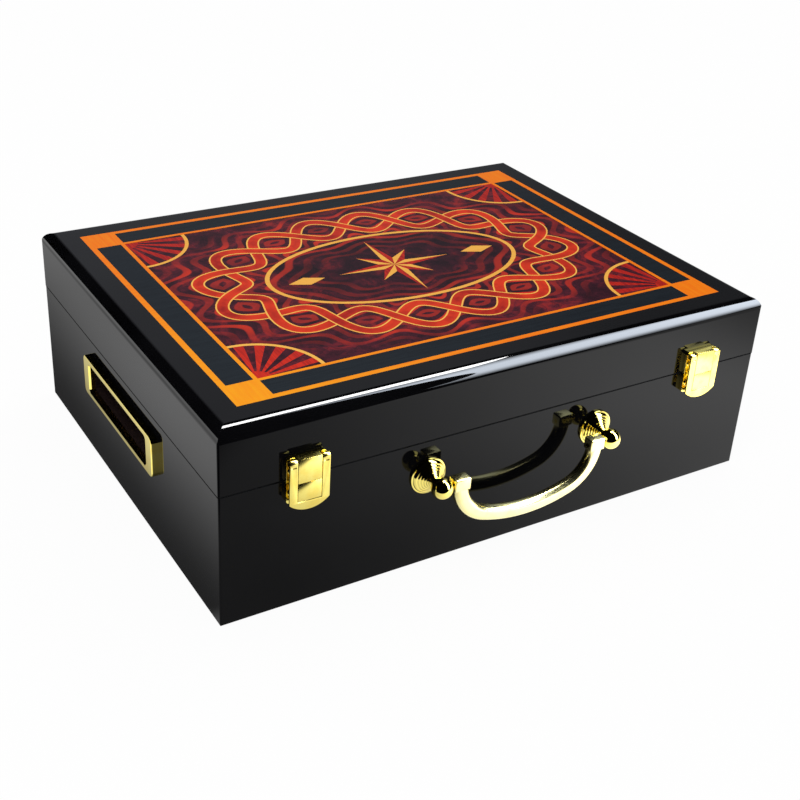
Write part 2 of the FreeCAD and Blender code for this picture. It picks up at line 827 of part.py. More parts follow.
def picture_oval(half_x, half_y):
    """An oval veneer piece of the picture about the middle."""
    ellipse = Part.Ellipse(Vector(0, 0, veneer_z), half_x, half_y)
    return Part.Face(Part.Wire([ellipse.toShape()])).extrude(Vector(0, 0, picture_z - veneer_z))


def quartered(piece):
    """A piece with its mirror images in all four corners of the lid."""
    pair = [piece, mirrored_x(piece)]
    across = [half.mirror(Vector(0, 0, 0), Vector(0, 1, 0)) for half in pair]
    return pair + across


def inlay_border():
    """The corner blocks, strings and bands that frame the picture."""
    blocks = quartered(veneer_box(ground_x, inlay_x, ground_y, inlay_y))
    strings = []
    bands = []
    for side in (-1, 1):
        for low, high, group in (
            (inlay_y - outer_string, inlay_y, strings),
            (ground_y + inner_string, inlay_y - outer_string, bands),
            (ground_y, ground_y + inner_string, strings),
        ):
            group.append(veneer_box(-ground_x, ground_x, *sorted((side * low, side * high))))
        for low, high, group in (
            (inlay_x - outer_string, inlay_x, strings),
            (ground_x + inner_string, inlay_x - outer_string, bands),
            (ground_x, ground_x + inner_string, strings),
        ):
            group.append(veneer_box(*sorted((side * low, side * high)), -ground_y, ground_y))
    return solids(blocks), solids(strings), solids(bands)


def star_halves():
    """The compass star: the light and the dark half of each point."""
    light = []
    dark = []
    step = math.pi / star_points
    for index in range(star_points):
        length = star_short if index % 2 else star_long
        middle = 2 * step * index
        tip = (length * math.cos(middle), length * math.sin(middle))
        for side, group in ((1, light), (-1, dark)):
            turn = middle + side * step
            waist = (star_waist * math.cos(turn), star_waist * math.sin(turn))
            group.append(picture_piece([(0, 0), tip, waist]))
    return light, dark


def lozenges():
    """The lozenge at each end of the medallion."""
    x0 = lozenge_center - lozenge_length / 2
    x1 = lozenge_center + lozenge_length / 2
    half = lozenge_width / 2
    return two_sides(picture_piece([(x0, 0), (lozenge_center, -half), (x1, 0), (lozenge_center, half)]))


def braid_point(turn, phase):
    """A point on a strand's middle line: an oval with even waves across it."""
    a = braid_half_x
    b = braid_half_y
    normal = (math.cos(turn) / a, math.sin(turn) / b)
    size = math.hypot(*normal)
    stretch = (a * a - b * b) / (a * a + b * b) / 4
    wave = braid_swing * math.sin(braid_waves * (turn - stretch * math.sin(2 * turn)) + phase)
    return (a * math.cos(turn) + wave * normal[0] / size, b * math.sin(turn) + wave * normal[1] / size)


def braid_edge(turn, phase, offset):
    """A point beside a strand's middle line, at an offset to its right."""
    small = 0.001
    ahead = braid_point(turn + small, phase)
    behind = braid_point(turn - small, phase)
    run = (ahead[0] - behind[0], ahead[1] - behind[1])
    size = math.hypot(*run)
    x, y = braid_point(turn, phase)
    return (x + offset * run[1] / size, y - offset * run[0] / size)


def braid_strand(phase):
    """One closed strand of the braid, a ribbon between two wavy edges."""
    arcs = braid_waves * braid_arcs_per_wave
    step = math.pi / arcs
    faces = []
    for offset in (braid_width / 2, -braid_width / 2):
        points = [braid_edge(index * step, phase, offset) for index in range(2 * arcs)]
        points.append(points[0])
        outline = Outline(lambda x, y: Vector(x, y, veneer_z), points[0])
        for index in range(arcs):
            outline.arc(points[2 * index + 1], points[2 * index + 2])
        faces.append(outline.face().extrude(Vector(0, 0, picture_z - veneer_z)))
    return faces[0].cut(faces[1])


def corner_fan():
    """The quarter fan in the picture's front left corner: its arc band, and its rays and hub."""
    x = -ground_x
    y = -ground_y
    quadrant = box(x, x + 2 * fan_radius, y, y + 2 * fan_radius, veneer_z, picture_z)
    inner = picture_disc(x, y, fan_radius - fan_ring)
    hub = picture_disc(x, y, fan_hub)
    band = picture_disc(x, y, fan_radius).cut(inner).common(quadrant)
    rays = [hub.common(quadrant)]
    pitch = math.pi / 2 / fan_rays
    far = 2 * fan_radius
    for index in range(fan_rays):
        middle = (index + 0.5) * pitch
        half = pitch * fan_ray_share / 2
        edges = [(math.cos(turn), math.sin(turn)) for turn in (middle - half, middle + half)]
        points = [(x, y)] + [(x + far * c, y + far * s) for c, s in edges]
        rays.append(picture_piece(points).common(inner).cut(hub))
    return band, rays


def inlay_picture():
    """The burl ground and the traditional marquetry let into it."""
    disc = picture_oval(medallion_x, medallion_y)
    ring = picture_oval(medallion_x + medallion_ring, medallion_y + medallion_ring).cut(disc)
    light, dark = star_halves()
    diamonds = lozenges()
    band, rays = corner_fan()
    bands = quartered(band)
    all_rays = [copy for ray in rays for copy in quartered(ray)]
    over = braid_strand(0)
    under = braid_strand(math.pi).cut(over)
    ground = box(-ground_x, ground_x, -ground_y, ground_y, veneer_z, picture_z)
    return {
        "inlay_burl_ground": ground.cut([ring, disc, over, under] + bands + all_rays),
        "inlay_medallion_disc": disc.cut(light + dark + diamonds),
        "inlay_medallion_ring": ring,
        "inlay_star_light": solids(light),
        "inlay_star_dark": solids(dark),
        "inlay_lozenges": solids(diamonds),
        "inlay_braid_over": over,
        "inlay_braid_under": under,
        "inlay_fan_bands": solids(bands),
        "inlay_fan_rays": solids(all_rays),
    }


def two_sides(shape):
    """A shape on the right and its mirror image on the left."""
    return [mirrored_x(shape), shape]


def placed(shapes, x):
    """Copies of several shapes at a distance left and right of the middle."""
    return [moved(shape, side * x) for side in (-1, 1) for shape in shapes]


def build():
    """All sub-parts of the box by name."""
    nodes = {}
    one_latch = latch()
    one_hinge = hinge()
    latch_x = base_length / 2 - latch_inset
    hinge_x = base_length / 2 - hinge_inset
    bezel, cup = side_pulls()
    screw, washer, screw_holes = post_screw_parts()

    panel_x = inner_x + bottom_groove
    panel_y = inner_y + bottom_groove
    bottom_top = felt_thickness + bottom_thickness
    bottom = box(-panel_x, panel_x, -panel_y, panel_y, felt_thickness, bottom_top)
    corners = rounded_block(base_length / 2, base_depth / 2, corner_round, 0, seam_height)
    front, back, left, right = mitred_frame(base_length, base_depth, base_wall_section, wall, corners)
    front_holes = screw_holes + [mirrored_x(hole) for hole in screw_holes]
    front_holes += placed(one_latch["base_holes"], latch_x)
    right_holes = pull_holes()
    nodes["base_front_wall"] = front.cut([bottom] + front_holes)
    nodes["base_back_wall"] = back.cut([bottom] + placed(one_hinge["base_seats"], hinge_x))
    nodes["base_left_wall"] = left.cut([bottom] + [mirrored_x(hole) for hole in right_holes])
    nodes["base_right_wall"] = right.cut([bottom] + right_holes)
    nodes["base_bottom_panel"] = bottom
    nodes["base_felt_sheet"] = box(-inner_x, inner_x, -inner_y, inner_y, 0, felt_thickness)
    nodes["base_lining"] = box(-inner_x, inner_x, -inner_y, inner_y, bottom_top, floor_z)

    bed, ends = chip_rack()
    nodes["chip_rack_left"], nodes["chip_rack_right"] = two_sides(bed)
    nodes["rack_end_boards"] = solids(ends + [mirrored_x(end) for end in ends])
    nodes["chip_tray_left"], nodes["chip_tray_right"] = two_sides(chip_tray())
    nodes["gallery_wall"], nodes["gallery_partitions"], nodes["centre_divider"] = gallery()

    nodes["side_pull_left_bezel"], nodes["side_pull_right_bezel"] = two_sides(bezel)
    nodes["side_pull_left_cup"], nodes["side_pull_right_cup"] = two_sides(cup)

    nodes["handle_post_left"], nodes["handle_post_right"] = two_sides(handle_post())
    nodes["handle_pivot_pins"] = solids(two_sides(pivot_pin()))
    nodes["handle_screws"] = solids(two_sides(screw))
    nodes["handle_washers"] = solids(two_sides(washer))
    nodes["carry_bail"] = carry_bail()

    corners = rounded_block(lid_length / 2, lid_depth / 2, corner_round, seam_height, case_height)
    reach = frame_width + ledge_width
    front, back, left, right = mitred_frame(lid_length, lid_depth, lid_rail_section, reach, corners)
    nodes["lid_front_rail"] = front.cut(placed(one_latch["lid_holes"], latch_x))
    nodes["lid_back_rail"] = back.cut(placed(one_hinge["lid_seats"], hinge_x))
    nodes["lid_left_rail"] = left
    nodes["lid_right_rail"] = right
    nodes["lid_top_panel"] = box(-inlay_x, inlay_x, -inlay_y, inlay_y, panel_z, veneer_z)
    lining_x = inner_x - lining_board_gap
    lining_y = inner_y - lining_board_gap
    nodes["lid_lining_board"] = box(
        -lining_x, lining_x, -lining_y, lining_y, ledge_z - lining_board_thickness, ledge_z
    )
    blocks, strings, bands = inlay_border()
    nodes["inlay_corner_blocks"] = blocks
    nodes["inlay_strings"] = strings
    nodes["inlay_border_bands"] = bands
    nodes.update(inlay_picture())

    for name, x in (("left", -latch_x), ("right", latch_x)):
        nodes["latch_" + name + "_lid_plate"] = moved(one_latch["lid_plate"], x)
        nodes["latch_" + name + "_base_plate"] = moved(one_latch["base_plate"], x)
        nodes["latch_" + name + "_flap"] = moved(one_latch["flap"], x)
    nodes["latch_pins"] = solids(placed([one_latch["pin"]], latch_x))
    nodes["latch_lid_screws"] = solids(placed(one_latch["lid_screws"], latch_x))
    nodes["latch_base_screws"] = solids(placed(one_latch["base_screws"], latch_x))

    for name, x in (("left", -hinge_x), ("right", hinge_x)):
        nodes["hinge_" + name + "_base_leaf"] = moved(one_hinge["base_leaf"], x)
        nodes["hinge_" + name + "_lid_leaf"] = moved(one_hinge["lid_leaf"], x)
    nodes["hinge_pins"] = solids(placed([one_hinge["pin"]], hinge_x))
    nodes["hinge_base_screws"] = solids(placed(one_hinge["base_screws"], hinge_x))
    nodes["hinge_lid_screws"] = solids(placed(one_hinge["lid_screws"], hinge_x))
    return nodes


os.makedirs("parts", exist_ok=True)
for node_name, node_shape in build().items():
    node_shape.exportStep("parts/" + node_name + ".step")
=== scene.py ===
import logging
import math
from collections.abc import Sequence
from dataclasses import dataclass
from enum import Enum
from functools import cache

import bpy
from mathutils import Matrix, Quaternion, Vector


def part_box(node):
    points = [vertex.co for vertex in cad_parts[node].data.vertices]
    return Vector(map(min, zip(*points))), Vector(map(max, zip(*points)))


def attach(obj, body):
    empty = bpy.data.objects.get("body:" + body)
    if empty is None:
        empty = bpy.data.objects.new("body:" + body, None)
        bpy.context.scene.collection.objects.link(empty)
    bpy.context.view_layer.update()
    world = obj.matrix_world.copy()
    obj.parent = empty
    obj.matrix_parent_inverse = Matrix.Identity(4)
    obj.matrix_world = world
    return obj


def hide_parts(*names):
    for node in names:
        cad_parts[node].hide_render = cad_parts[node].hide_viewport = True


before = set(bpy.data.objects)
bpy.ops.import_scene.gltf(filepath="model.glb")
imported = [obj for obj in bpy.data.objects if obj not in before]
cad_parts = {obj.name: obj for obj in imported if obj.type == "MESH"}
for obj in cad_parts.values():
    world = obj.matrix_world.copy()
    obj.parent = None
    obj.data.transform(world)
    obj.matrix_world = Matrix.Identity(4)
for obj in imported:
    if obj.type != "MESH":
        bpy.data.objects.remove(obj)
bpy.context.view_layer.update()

# Looks of a poker chip storage box: black lacquer, a marquetry lid and polished brass.
# Metres, in the box's own frame: the front faces -Y, and the origin is under the middle.

log = logging.getLogger("chip_box")

MM = 0.001
MERGE = 0.002 * MM
COPY_MERGE = 0.001 * MM
FLAT_TURN = math.radians(0.6)
VENEER_GLOSS = 0.035
VENEER_WAVE = 14 * MM
VENEER_WAVE_HEIGHT = 0.007 * MM
Colour = tuple[float, float, float, float]


def colour(red: float, green: float, blue: float) -> Colour:
    """A linear colour with full opacity."""
    return (red, green, blue, 1.0)


class Axis(Enum):
    """The direction that a grain or a lay runs in."""

    X = 0
    Y = 1
    Z = 2


@dataclass(frozen=True)
class Wire:
    """A shader socket that takes part in Python expressions."""

    graph: "Graph"
    socket: bpy.types.NodeSocket

    def __add__(self, other: "Term") -> "Wire":
        """The sum."""
        return self.graph.maths("ADD", self, other)

    def __radd__(self, other: "Term") -> "Wire":
        """The sum, with the number first."""
        return self.graph.maths("ADD", other, self)

    def __sub__(self, other: "Term") -> "Wire":
        """The difference."""
        return self.graph.maths("SUBTRACT", self, other)

    def __rsub__(self, other: "Term") -> "Wire":
        """The difference, with the number first."""
        return self.graph.maths("SUBTRACT", other, self)

    def __mul__(self, other: "Term") -> "Wire":
        """The product."""
        return self.graph.maths("MULTIPLY", self, other)

    def __rmul__(self, other: "Term") -> "Wire":
        """The product, with the number first."""
        return self.graph.maths("MULTIPLY", other, self)

    def __truediv__(self, other: "Term") -> "Wire":
        """The quotient."""
        return self.graph.maths("DIVIDE", self, other)

    def __pow__(self, other: "Term") -> "Wire":
        """The power."""
        return self.graph.maths("POWER", self, other)

    def __abs__(self) -> "Wire":
        """The size without its sign."""
        return self.graph.maths("ABSOLUTE", self, 0.0)

    def ramp(self, low: float, high: float) -> "Wire":
        """A soft step from 0 at one value to 1 at another.

        Args:
            low: The value where the step starts.
            high: The value where it ends; it may be the lower of the two.

        Returns:
            The step.
        """
        settings = {"interpolation_type": "SMOOTHSTEP"}
        return self.graph.node("ShaderNodeMapRange", settings, {0: self, 1: low, 2: high, 3: 0.0, 4: 1.0})


Term = Wire | float


class Graph:
    """The node tree of one material, or of the world."""

    def __init__(self, name: str, tree: bpy.types.NodeTree | None = None) -> None:
        """Starts an empty material, or empties the tree that it is given.

        Args:
            name: The material's name.
            tree: The node tree of something else, such as the world.
        """
        self.material = None if tree else bpy.data.materials.new(name)
        if self.material:
            self.material.use_nodes = True
        self.tree = tree or self.material.node_tree
        self.tree.nodes.clear()

    def finish(self, surface: "Wire", kind: str = "ShaderNodeOutputMaterial") -> None:
        """Joins the finished surface to the tree's output."""
        out = self.tree.nodes.new(kind)
        self.tree.links.new(surface.socket, out.inputs["Surface"])

    def node(
        self,
        kind: str,
        settings: dict[str, object] | None = None,
        inputs: dict[str | int, object] | None = None,
        output: str | int = 0,
    ) -> Wire:
        """Adds a node.

        Args:
            kind: The node's type.
            settings: The node's own properties, set before its sockets.
            inputs: The sockets by name or place, with their values or wires.
            output: The socket that is handed on, by name or place.

        Returns:
            The node's output.
        """
        made = self.tree.nodes.new(kind)
        for key, value in (settings or {}).items():
            setattr(made, key, value)
        for key, value in (inputs or {}).items():
            if isinstance(value, Wire):
                self.tree.links.new(value.socket, made.inputs[key])
            else:
                made.inputs[key].default_value = value
        return Wire(self, made.outputs[output])

    def maths(self, operation: str, first: Term, second: Term) -> Wire:
        """A sum, product or other piece of arithmetic on two values."""
        return self.node("ShaderNodeMath", {"operation": operation}, {0: first, 1: second})

    def mix(self, share: Term, first: Wire | Colour, second: Wire | Colour) -> Wire:
        """A colour between two.

        Args:
            share: 0 gives the first colour and 1 the second.
            first: The colour at 0.
            second: The colour at 1.

        Returns:
            The mixed colour.
        """
        return self.node("ShaderNodeMix", {"data_type": "RGBA"}, {0: share, 6: first, 7: second}, 2)

    def place(self) -> Wire:
        """The point on the piece, in metres in the box's frame."""
        return self.node("ShaderNodeTexCoord", output="Object")

    def split(self, vector: Wire, axis: Axis) -> Wire:
        """One coordinate of a vector."""
        return self.node("ShaderNodeSeparateXYZ", inputs={"Vector": vector}, output=axis.value)

    def stretched(self, vector: Wire, scale: Sequence[float]) -> Wire:
        """A vector with each coordinate multiplied by its own number."""
        return self.node("ShaderNodeVectorMath", {"operation": "MULTIPLY"}, {0: vector, 1: tuple(scale)})

    def shifted(self, vector: Wire, push: Wire, size: float) -> Wire:
        """A vector pushed about by a colour pattern.

        Args:
            vector: The vector to push.
            push: A colour, whose middle grey pushes nothing.
            size: How far full white pushes.

        Returns:
            The pushed vector.
        """
        centred = self.node("ShaderNodeVectorMath", {"operation": "SUBTRACT"}, {0: push, 1: (0.5, 0.5, 0.5)})
        scaled = self.node("ShaderNodeVectorMath", {"operation": "SCALE"}, {0: centred, "Scale": 2 * size})
        return self.node("ShaderNodeVectorMath", {"operation": "ADD"}, {0: vector, 1: scaled})

    def noise(
        self, vector: Wire, size: float, detail: float = 2.0, rough: float = 0.5, output: str = "Fac"
    ) -> Wire:
        """Cloudy noise.

        Args:
            vector: Where it is read.
            size: The size of its clouds, in the vector's units.
            detail: How many finer layers it has.
            rough: How strong the finer layers are.
            output: Fac for a value, Color for three.

        Returns:
            The noise, about 0.5 in the middle.
        """
        inputs = {"Vector": vector, "Scale": 1 / size, "Detail": detail, "Roughness": rough}
        return self.node("ShaderNodeTexNoise", {}, inputs, output)

    def bump(self, height: Wire, distance: float, strength: float = 1.0) -> Wire:
        """A bump from a height pattern, whose full white stands a distance proud."""
        inputs = {"Height": height, "Distance": distance, "Strength": strength}
        return self.node("ShaderNodeBump", {}, inputs)


@dataclass(frozen=True)
class Finish:
    """What every finish shares: one surface shader whose sockets the finish fills."""

    name: str

    def sockets(self, graph: Graph) -> dict[str, object]:
        """The surface shader's sockets, with their values and patterns."""
        raise NotImplementedError

    @cache
    def material(self) -> bpy.types.Material:
        """The finish as a material, made once.

        Returns:
            The material.
        """
        graph = Graph(f"{self.name}_finish")
        graph.finish(graph.node("ShaderNodeBsdfPrincipled", inputs=self.sockets(graph)))
        return graph.material


@dataclass(frozen=True)
class BlackLacquer(Finish):
    """Mirror-gloss black lacquer, more glossy on the rounded top edges and dull at the seam."""

    deep: Colour = colour(0.0014, 0.0014, 0.0018)
    hazed: Colour = colour(0.0030, 0.0030, 0.0036)
    wave_size: float = 14 * MM
    wave_height: float = 0.006 * MM
    ior: float = 1.2
    coat_ior: float = 1.5
    coat_from: float = 123.8 * MM
    coat_full: float = 126.0 * MM
    seam_half: float = 0.55 * MM
    seam_soft: float = 0.2 * MM

    def sockets(self, graph: Graph) -> dict[str, object]:
        """The lacquer's colour, gloss and waves."""
        at = graph.place()
        height = graph.split(at, Axis.Z)
        from_seam = abs(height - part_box("lid_front_rail")[0].z)
        seam = from_seam.ramp(self.seam_half + self.seam_soft, self.seam_half)
        haze = graph.noise(at, 90 * MM, 3.0).ramp(0.35, 0.7)
        specks = graph.noise(at, 0.9 * MM, 1.0).ramp(0.66, 0.74)
        marks = graph.noise(graph.stretched(at, (1.0, 9.0, 9.0)), 4 * MM, 2.0)
        waves = graph.noise(at, self.wave_size, 1.0)
        return {
            "Base Color": graph.mix(haze, self.deep, self.hazed),
            "Roughness": 0.02 + 0.012 * marks + 0.01 * haze + 0.02 * specks + 0.8 * seam,
            "IOR": self.ior,
            "Coat Weight": height.ramp(self.coat_from, self.coat_full),
            "Coat IOR": self.coat_ior,
            "Coat Roughness": 0.02,
            "Normal": graph.bump(waves, self.wave_height),
        }


@dataclass(frozen=True)
class PolishedBrass(Finish):
    """Polished and lacquered brass with faint buffing marks and slightly dull patches."""

    bright: Colour = colour(1.0, 0.84, 0.22)
    deep: Colour = colour(0.95, 0.68, 0.11)
    roughness: float = 0.03
    lay: Axis = Axis.X

    def sockets(self, graph: Graph) -> dict[str, object]:
        """The brass's colour, gloss and marks."""
        at = graph.place()
        along = [14.0, 14.0, 14.0]
        along[self.lay.value] = 1.0
        buffing = graph.noise(graph.stretched(at, along), 3 * MM, 3.0, 0.6)
        patches = graph.noise(at, 7 * MM, 3.0).ramp(0.4, 0.75)
        dents = graph.noise(at, 5 * MM, 1.0)
        return {
            "Base Color": graph.mix(patches * 0.6, self.bright, self.deep),
            "Metallic": 1.0,
            "Roughness": self.roughness + 0.03 * buffing + 0.03 * patches,
            "Normal": graph.bump(dents + 0.05 * buffing, 0.008 * MM),
        }


@dataclass(frozen=True)
class Steel(Finish):
    """Zinc-plated steel, turned, with a soft mottle."""

    bright: Colour = colour(0.62, 0.63, 0.64)
    dull: Colour = colour(0.42, 0.42, 0.40)

    def sockets(self, graph: Graph) -> dict[str, object]:
        """The plating's colour, gloss and turning marks."""
        at = graph.place()
        mottle = graph.noise(at, 1.5 * MM, 4.0).ramp(0.35, 0.7)
        return {
            "Base Color": graph.mix(mottle, self.bright, self.dull),
            "Metallic": 1.0,
            "Roughness": 0.24 + 0.16 * mottle,
            "Normal": graph.bump(mottle, 0.01 * MM),
        }


@dataclass(frozen=True)
class Veneer(Finish):
    """What the veneers share: the gloss lacquer over them."""

    def lacquered(self, graph: Graph, at: Wire, tone: Wire, matt: Wire, ior: float) -> dict[str, object]:
        """The surface shader's sockets for a lacquered veneer.

        Args:
            graph: The material's graph.
            at: The point on the veneer.
            tone: Its colour.
            matt: A pattern that takes a little of the gloss away.
            ior: How strongly the lacquer mirrors.

        Returns:
            The sockets, with their values and patterns.
        """
        waves = graph.noise(at, VENEER_WAVE, 1.0)
        return {
            "Base Color": tone,
            "Roughness": VENEER_GLOSS + 0.02 * matt,
            "IOR": ior,
            "Normal": graph.bump(waves, VENEER_WAVE_HEIGHT),
        }


@dataclass(frozen=True)
class StraightVeneer(Veneer):
    """Dyed straight-grained veneer under gloss lacquer, with painted light: paler towards the front left
    corner.
    """

    light: Colour = colour(1.0, 0.385, 0.007)
    dark: Colour = colour(0.93, 0.17, 0.003)
    grain: Axis = Axis.X
    contrast: float = 0.35
    # Painted light: how much darker the veneer gets away from the front left corner, over what distance, and
    # where that corner lies.
    painted_light_share: float = 0.65
    painted_light_reach: float = 0.22
    corner: float = 0.31
    ior: float = 1.4

    def sockets(self, graph: Graph) -> dict[str, object]:
        """The veneer's streaks and pores under the lacquer, with painted light from the front left corner.
        """
        at = graph.place()
        along = [1.0, 1.0, 1.0]
        along[self.grain.value] = 0.05
        streaks = graph.noise(graph.stretched(at, along), 1.1 * MM, 4.0, 0.6).ramp(0.3, 0.75)
        # Painted light: paler near the front left corner and darker away from it, mixed with the real
        # streaks.
        from_lit_corner = graph.split(at, Axis.X) + graph.split(at, Axis.Y) + self.corner
        depth = from_lit_corner.ramp(0.0, self.painted_light_reach) * self.painted_light_share + streaks * self.contrast
        return self.lacquered(graph, at, graph.mix(depth, self.light, self.dark), streaks, self.ior)


@dataclass(frozen=True)
class BurlVeneer(Veneer):
    """Dyed burl: dark clouds with glowing patches, and soft red rings that echo an oval line."""

    dark: Colour = colour(0.012, 0.003, 0.007)
    middle: Colour = colour(0.085, 0.010, 0.022)
    glow: Colour = colour(0.30, 0.016, 0.016)
    echo: Colour = colour(0.78, 0.040, 0.012)
    glow_from: float = 0.50
    oval_x: float = 124.4 * MM
    oval_y: float = 76.7 * MM
    lobes: int = 16
    lobe_depth: float = 16 * MM
    echo_pitch: float = 11.5 * MM
    echo_share: float = 1.1
    echo_fade: float = 52 * MM
    ior: float = 1.4

    def rings(self, graph: Graph, at: Wire) -> Wire:
        """The scalloped rings beside the oval, which fade away from it.

        Args:
            graph: The material's graph.
            at: The point on the veneer.

        Returns:
            How strong a ring is there.
        """
        x = graph.split(at, Axis.X) * (1 / self.oval_x)
        y = graph.split(at, Axis.Y) * (1 / self.oval_y)
        turn = graph.maths("ARCTAN2", y, x)
        stretch = (self.oval_x**2 - self.oval_y**2) / (self.oval_x**2 + self.oval_y**2) / 4
        even = turn - graph.maths("SINE", turn * 2.0, 0.0) * stretch
        scallop = graph.maths("COSINE", even * float(self.lobes), 0.0)
        mean = (self.oval_x + self.oval_y) / 2
        away = abs((x * x + y * y) ** 0.5 - 1.0) * mean
        step = (away + (scallop - 1.0) * (self.lobe_depth / 2)) * (2 * math.pi / self.echo_pitch)
        ring = graph.maths("COSINE", step, 0.0).ramp(-0.1, 0.6)
        every_other = graph.maths("COSINE", step * 0.5, 0.0) * 0.3 + 0.7
        return ring * every_other * away.ramp(self.echo_fade, self.lobe_depth / 2)

    def sockets(self, graph: Graph) -> dict[str, object]:
        """The burl's figure and rings under the lacquer."""
        at = graph.place()
        curl = graph.noise(at, 26 * MM, 2.0, output="Color")
        bent = graph.shifted(at, curl, 14 * MM)
        clouds = graph.noise(bent, 17 * MM, 6.0, 0.62)
        veins = 1 - abs(graph.noise(bent, 11 * MM, 5.0, 0.6) - 0.5).ramp(0.0, 0.07)
        cells = graph.node("ShaderNodeTexVoronoi", {}, {"Vector": bent, "Scale": 1 / (9 * MM)})
        eyes = cells.ramp(0.22, 0.08)
        fine = graph.noise(at, 0.9 * MM, 4.0, 0.7)
        base = graph.mix(clouds.ramp(0.32, 0.62), self.dark, self.middle)
        lit = graph.mix(clouds.ramp(self.glow_from, self.glow_from + 0.2) * 0.85, base, self.glow)
        veined = graph.mix(veins * 0.5 + eyes * 0.35, lit, self.dark)
        shade = graph.mix(fine.ramp(0.35, 0.7) * 0.35, veined, self.middle)
        patchy = graph.noise(at, 30 * MM, 3.0).ramp(0.25, 0.6) * 0.6 + fine * 0.5
        echoes = self.rings(graph, graph.shifted(at, curl, 1.2 * MM)) * patchy * self.echo_share
        return self.lacquered(graph, at, graph.mix(echoes, shade, self.echo), fine, self.ior)


@dataclass(frozen=True)
class RibbonVeneer(Veneer):
    """A strand of the braid: a red core between two light edge lines, scorched where it dips under.

    The piece's own map runs 0 to 1 along the strand (U) and 0 to 1 across its upper face (V).
    """

    bright: Colour = colour(0.80, 0.045, 0.010)
    deep: Colour = colour(0.34, 0.010, 0.006)
    edge: Colour = colour(0.98, 0.52, 0.10)
    worn: Colour = colour(0.80, 0.28, 0.03)
    edge_share: float = 0.11
    dips: int = 8
    ior: float = 1.4

    def sockets(self, graph: Graph) -> dict[str, object]:
        """The strand's lines, glow and scorching."""
        at = graph.place()
        chart = graph.node("ShaderNodeTexCoord", output="UV")
        across = abs(graph.split(chart, Axis.Y) - 0.5) * 2
        along = graph.split(chart, Axis.X)
        dip = graph.maths("SINE", along * (2 * math.pi * self.dips), 0.0)
        line = across.ramp(1 - 2 * self.edge_share - 0.03, 1 - 2 * self.edge_share)
        fine = graph.noise(at, 1.2 * MM, 4.0, 0.65)
        cloud = graph.noise(at, 9 * MM, 3.0)
        depth = (1 - across) * 0.25 + cloud.ramp(0.35, 0.7) * 0.45 + dip.ramp(-0.2, 1.0) * 0.35
        core = graph.mix(depth, self.bright, self.deep)
        worn_edge = graph.mix(fine.ramp(0.45, 0.7) * 0.3, self.edge, self.worn)
        return self.lacquered(graph, at, graph.mix(line, core, worn_edge), fine, self.ior)


@dataclass(frozen=True)
class Pile(Finish):
    """Velvet, felt or flock: a short brushed pile."""

    light: Colour = colour(0.16, 0.012, 0.022)
    dark: Colour = colour(0.05, 0.004, 0.008)
    tuft: float = 0.5 * MM
    sheen: float = 0.4

    def sockets(self, graph: Graph) -> dict[str, object]:
        """The pile's brushed patches, tufts and sheen."""
        at = graph.place()
        brushed = graph.noise(at, 22 * MM, 3.0).ramp(0.35, 0.7)
        tufts = graph.noise(at, self.tuft, 3.0, 0.7)
        return {
            "Base Color": graph.mix(brushed * 0.5 + tufts.ramp(0.35, 0.7) * 0.5, self.light, self.dark),
            "Roughness": 0.85 + 0.1 * tufts,
            "Sheen Weight": self.sheen,
            "Normal": graph.bump(tufts, 0.25 * MM),
        }


@dataclass(frozen=True)
class Board(Finish):
    """Satin-painted or bare fibreboard with a faint texture."""

    light: Colour = colour(0.020, 0.020, 0.022)
    dark: Colour = colour(0.010, 0.010, 0.011)
    roughness: float = 0.42
    fibre: float = 2.5 * MM

    def sockets(self, graph: Graph) -> dict[str, object]:
        """The board's colour, sheen and fibres."""
        at = graph.place()
        fibres = graph.noise(graph.stretched(at, (0.3, 1.0, 1.0)), self.fibre, 5.0, 0.65)
        patches = graph.noise(at, 45 * MM, 2.0).ramp(0.35, 0.7)
        return {
            "Base Color": graph.mix(fibres.ramp(0.3, 0.7) * 0.7 + patches * 0.3, self.light, self.dark),
            "Roughness": self.roughness + 0.12 * fibres,
            "Normal": graph.bump(fibres, 0.05 * MM),
        }


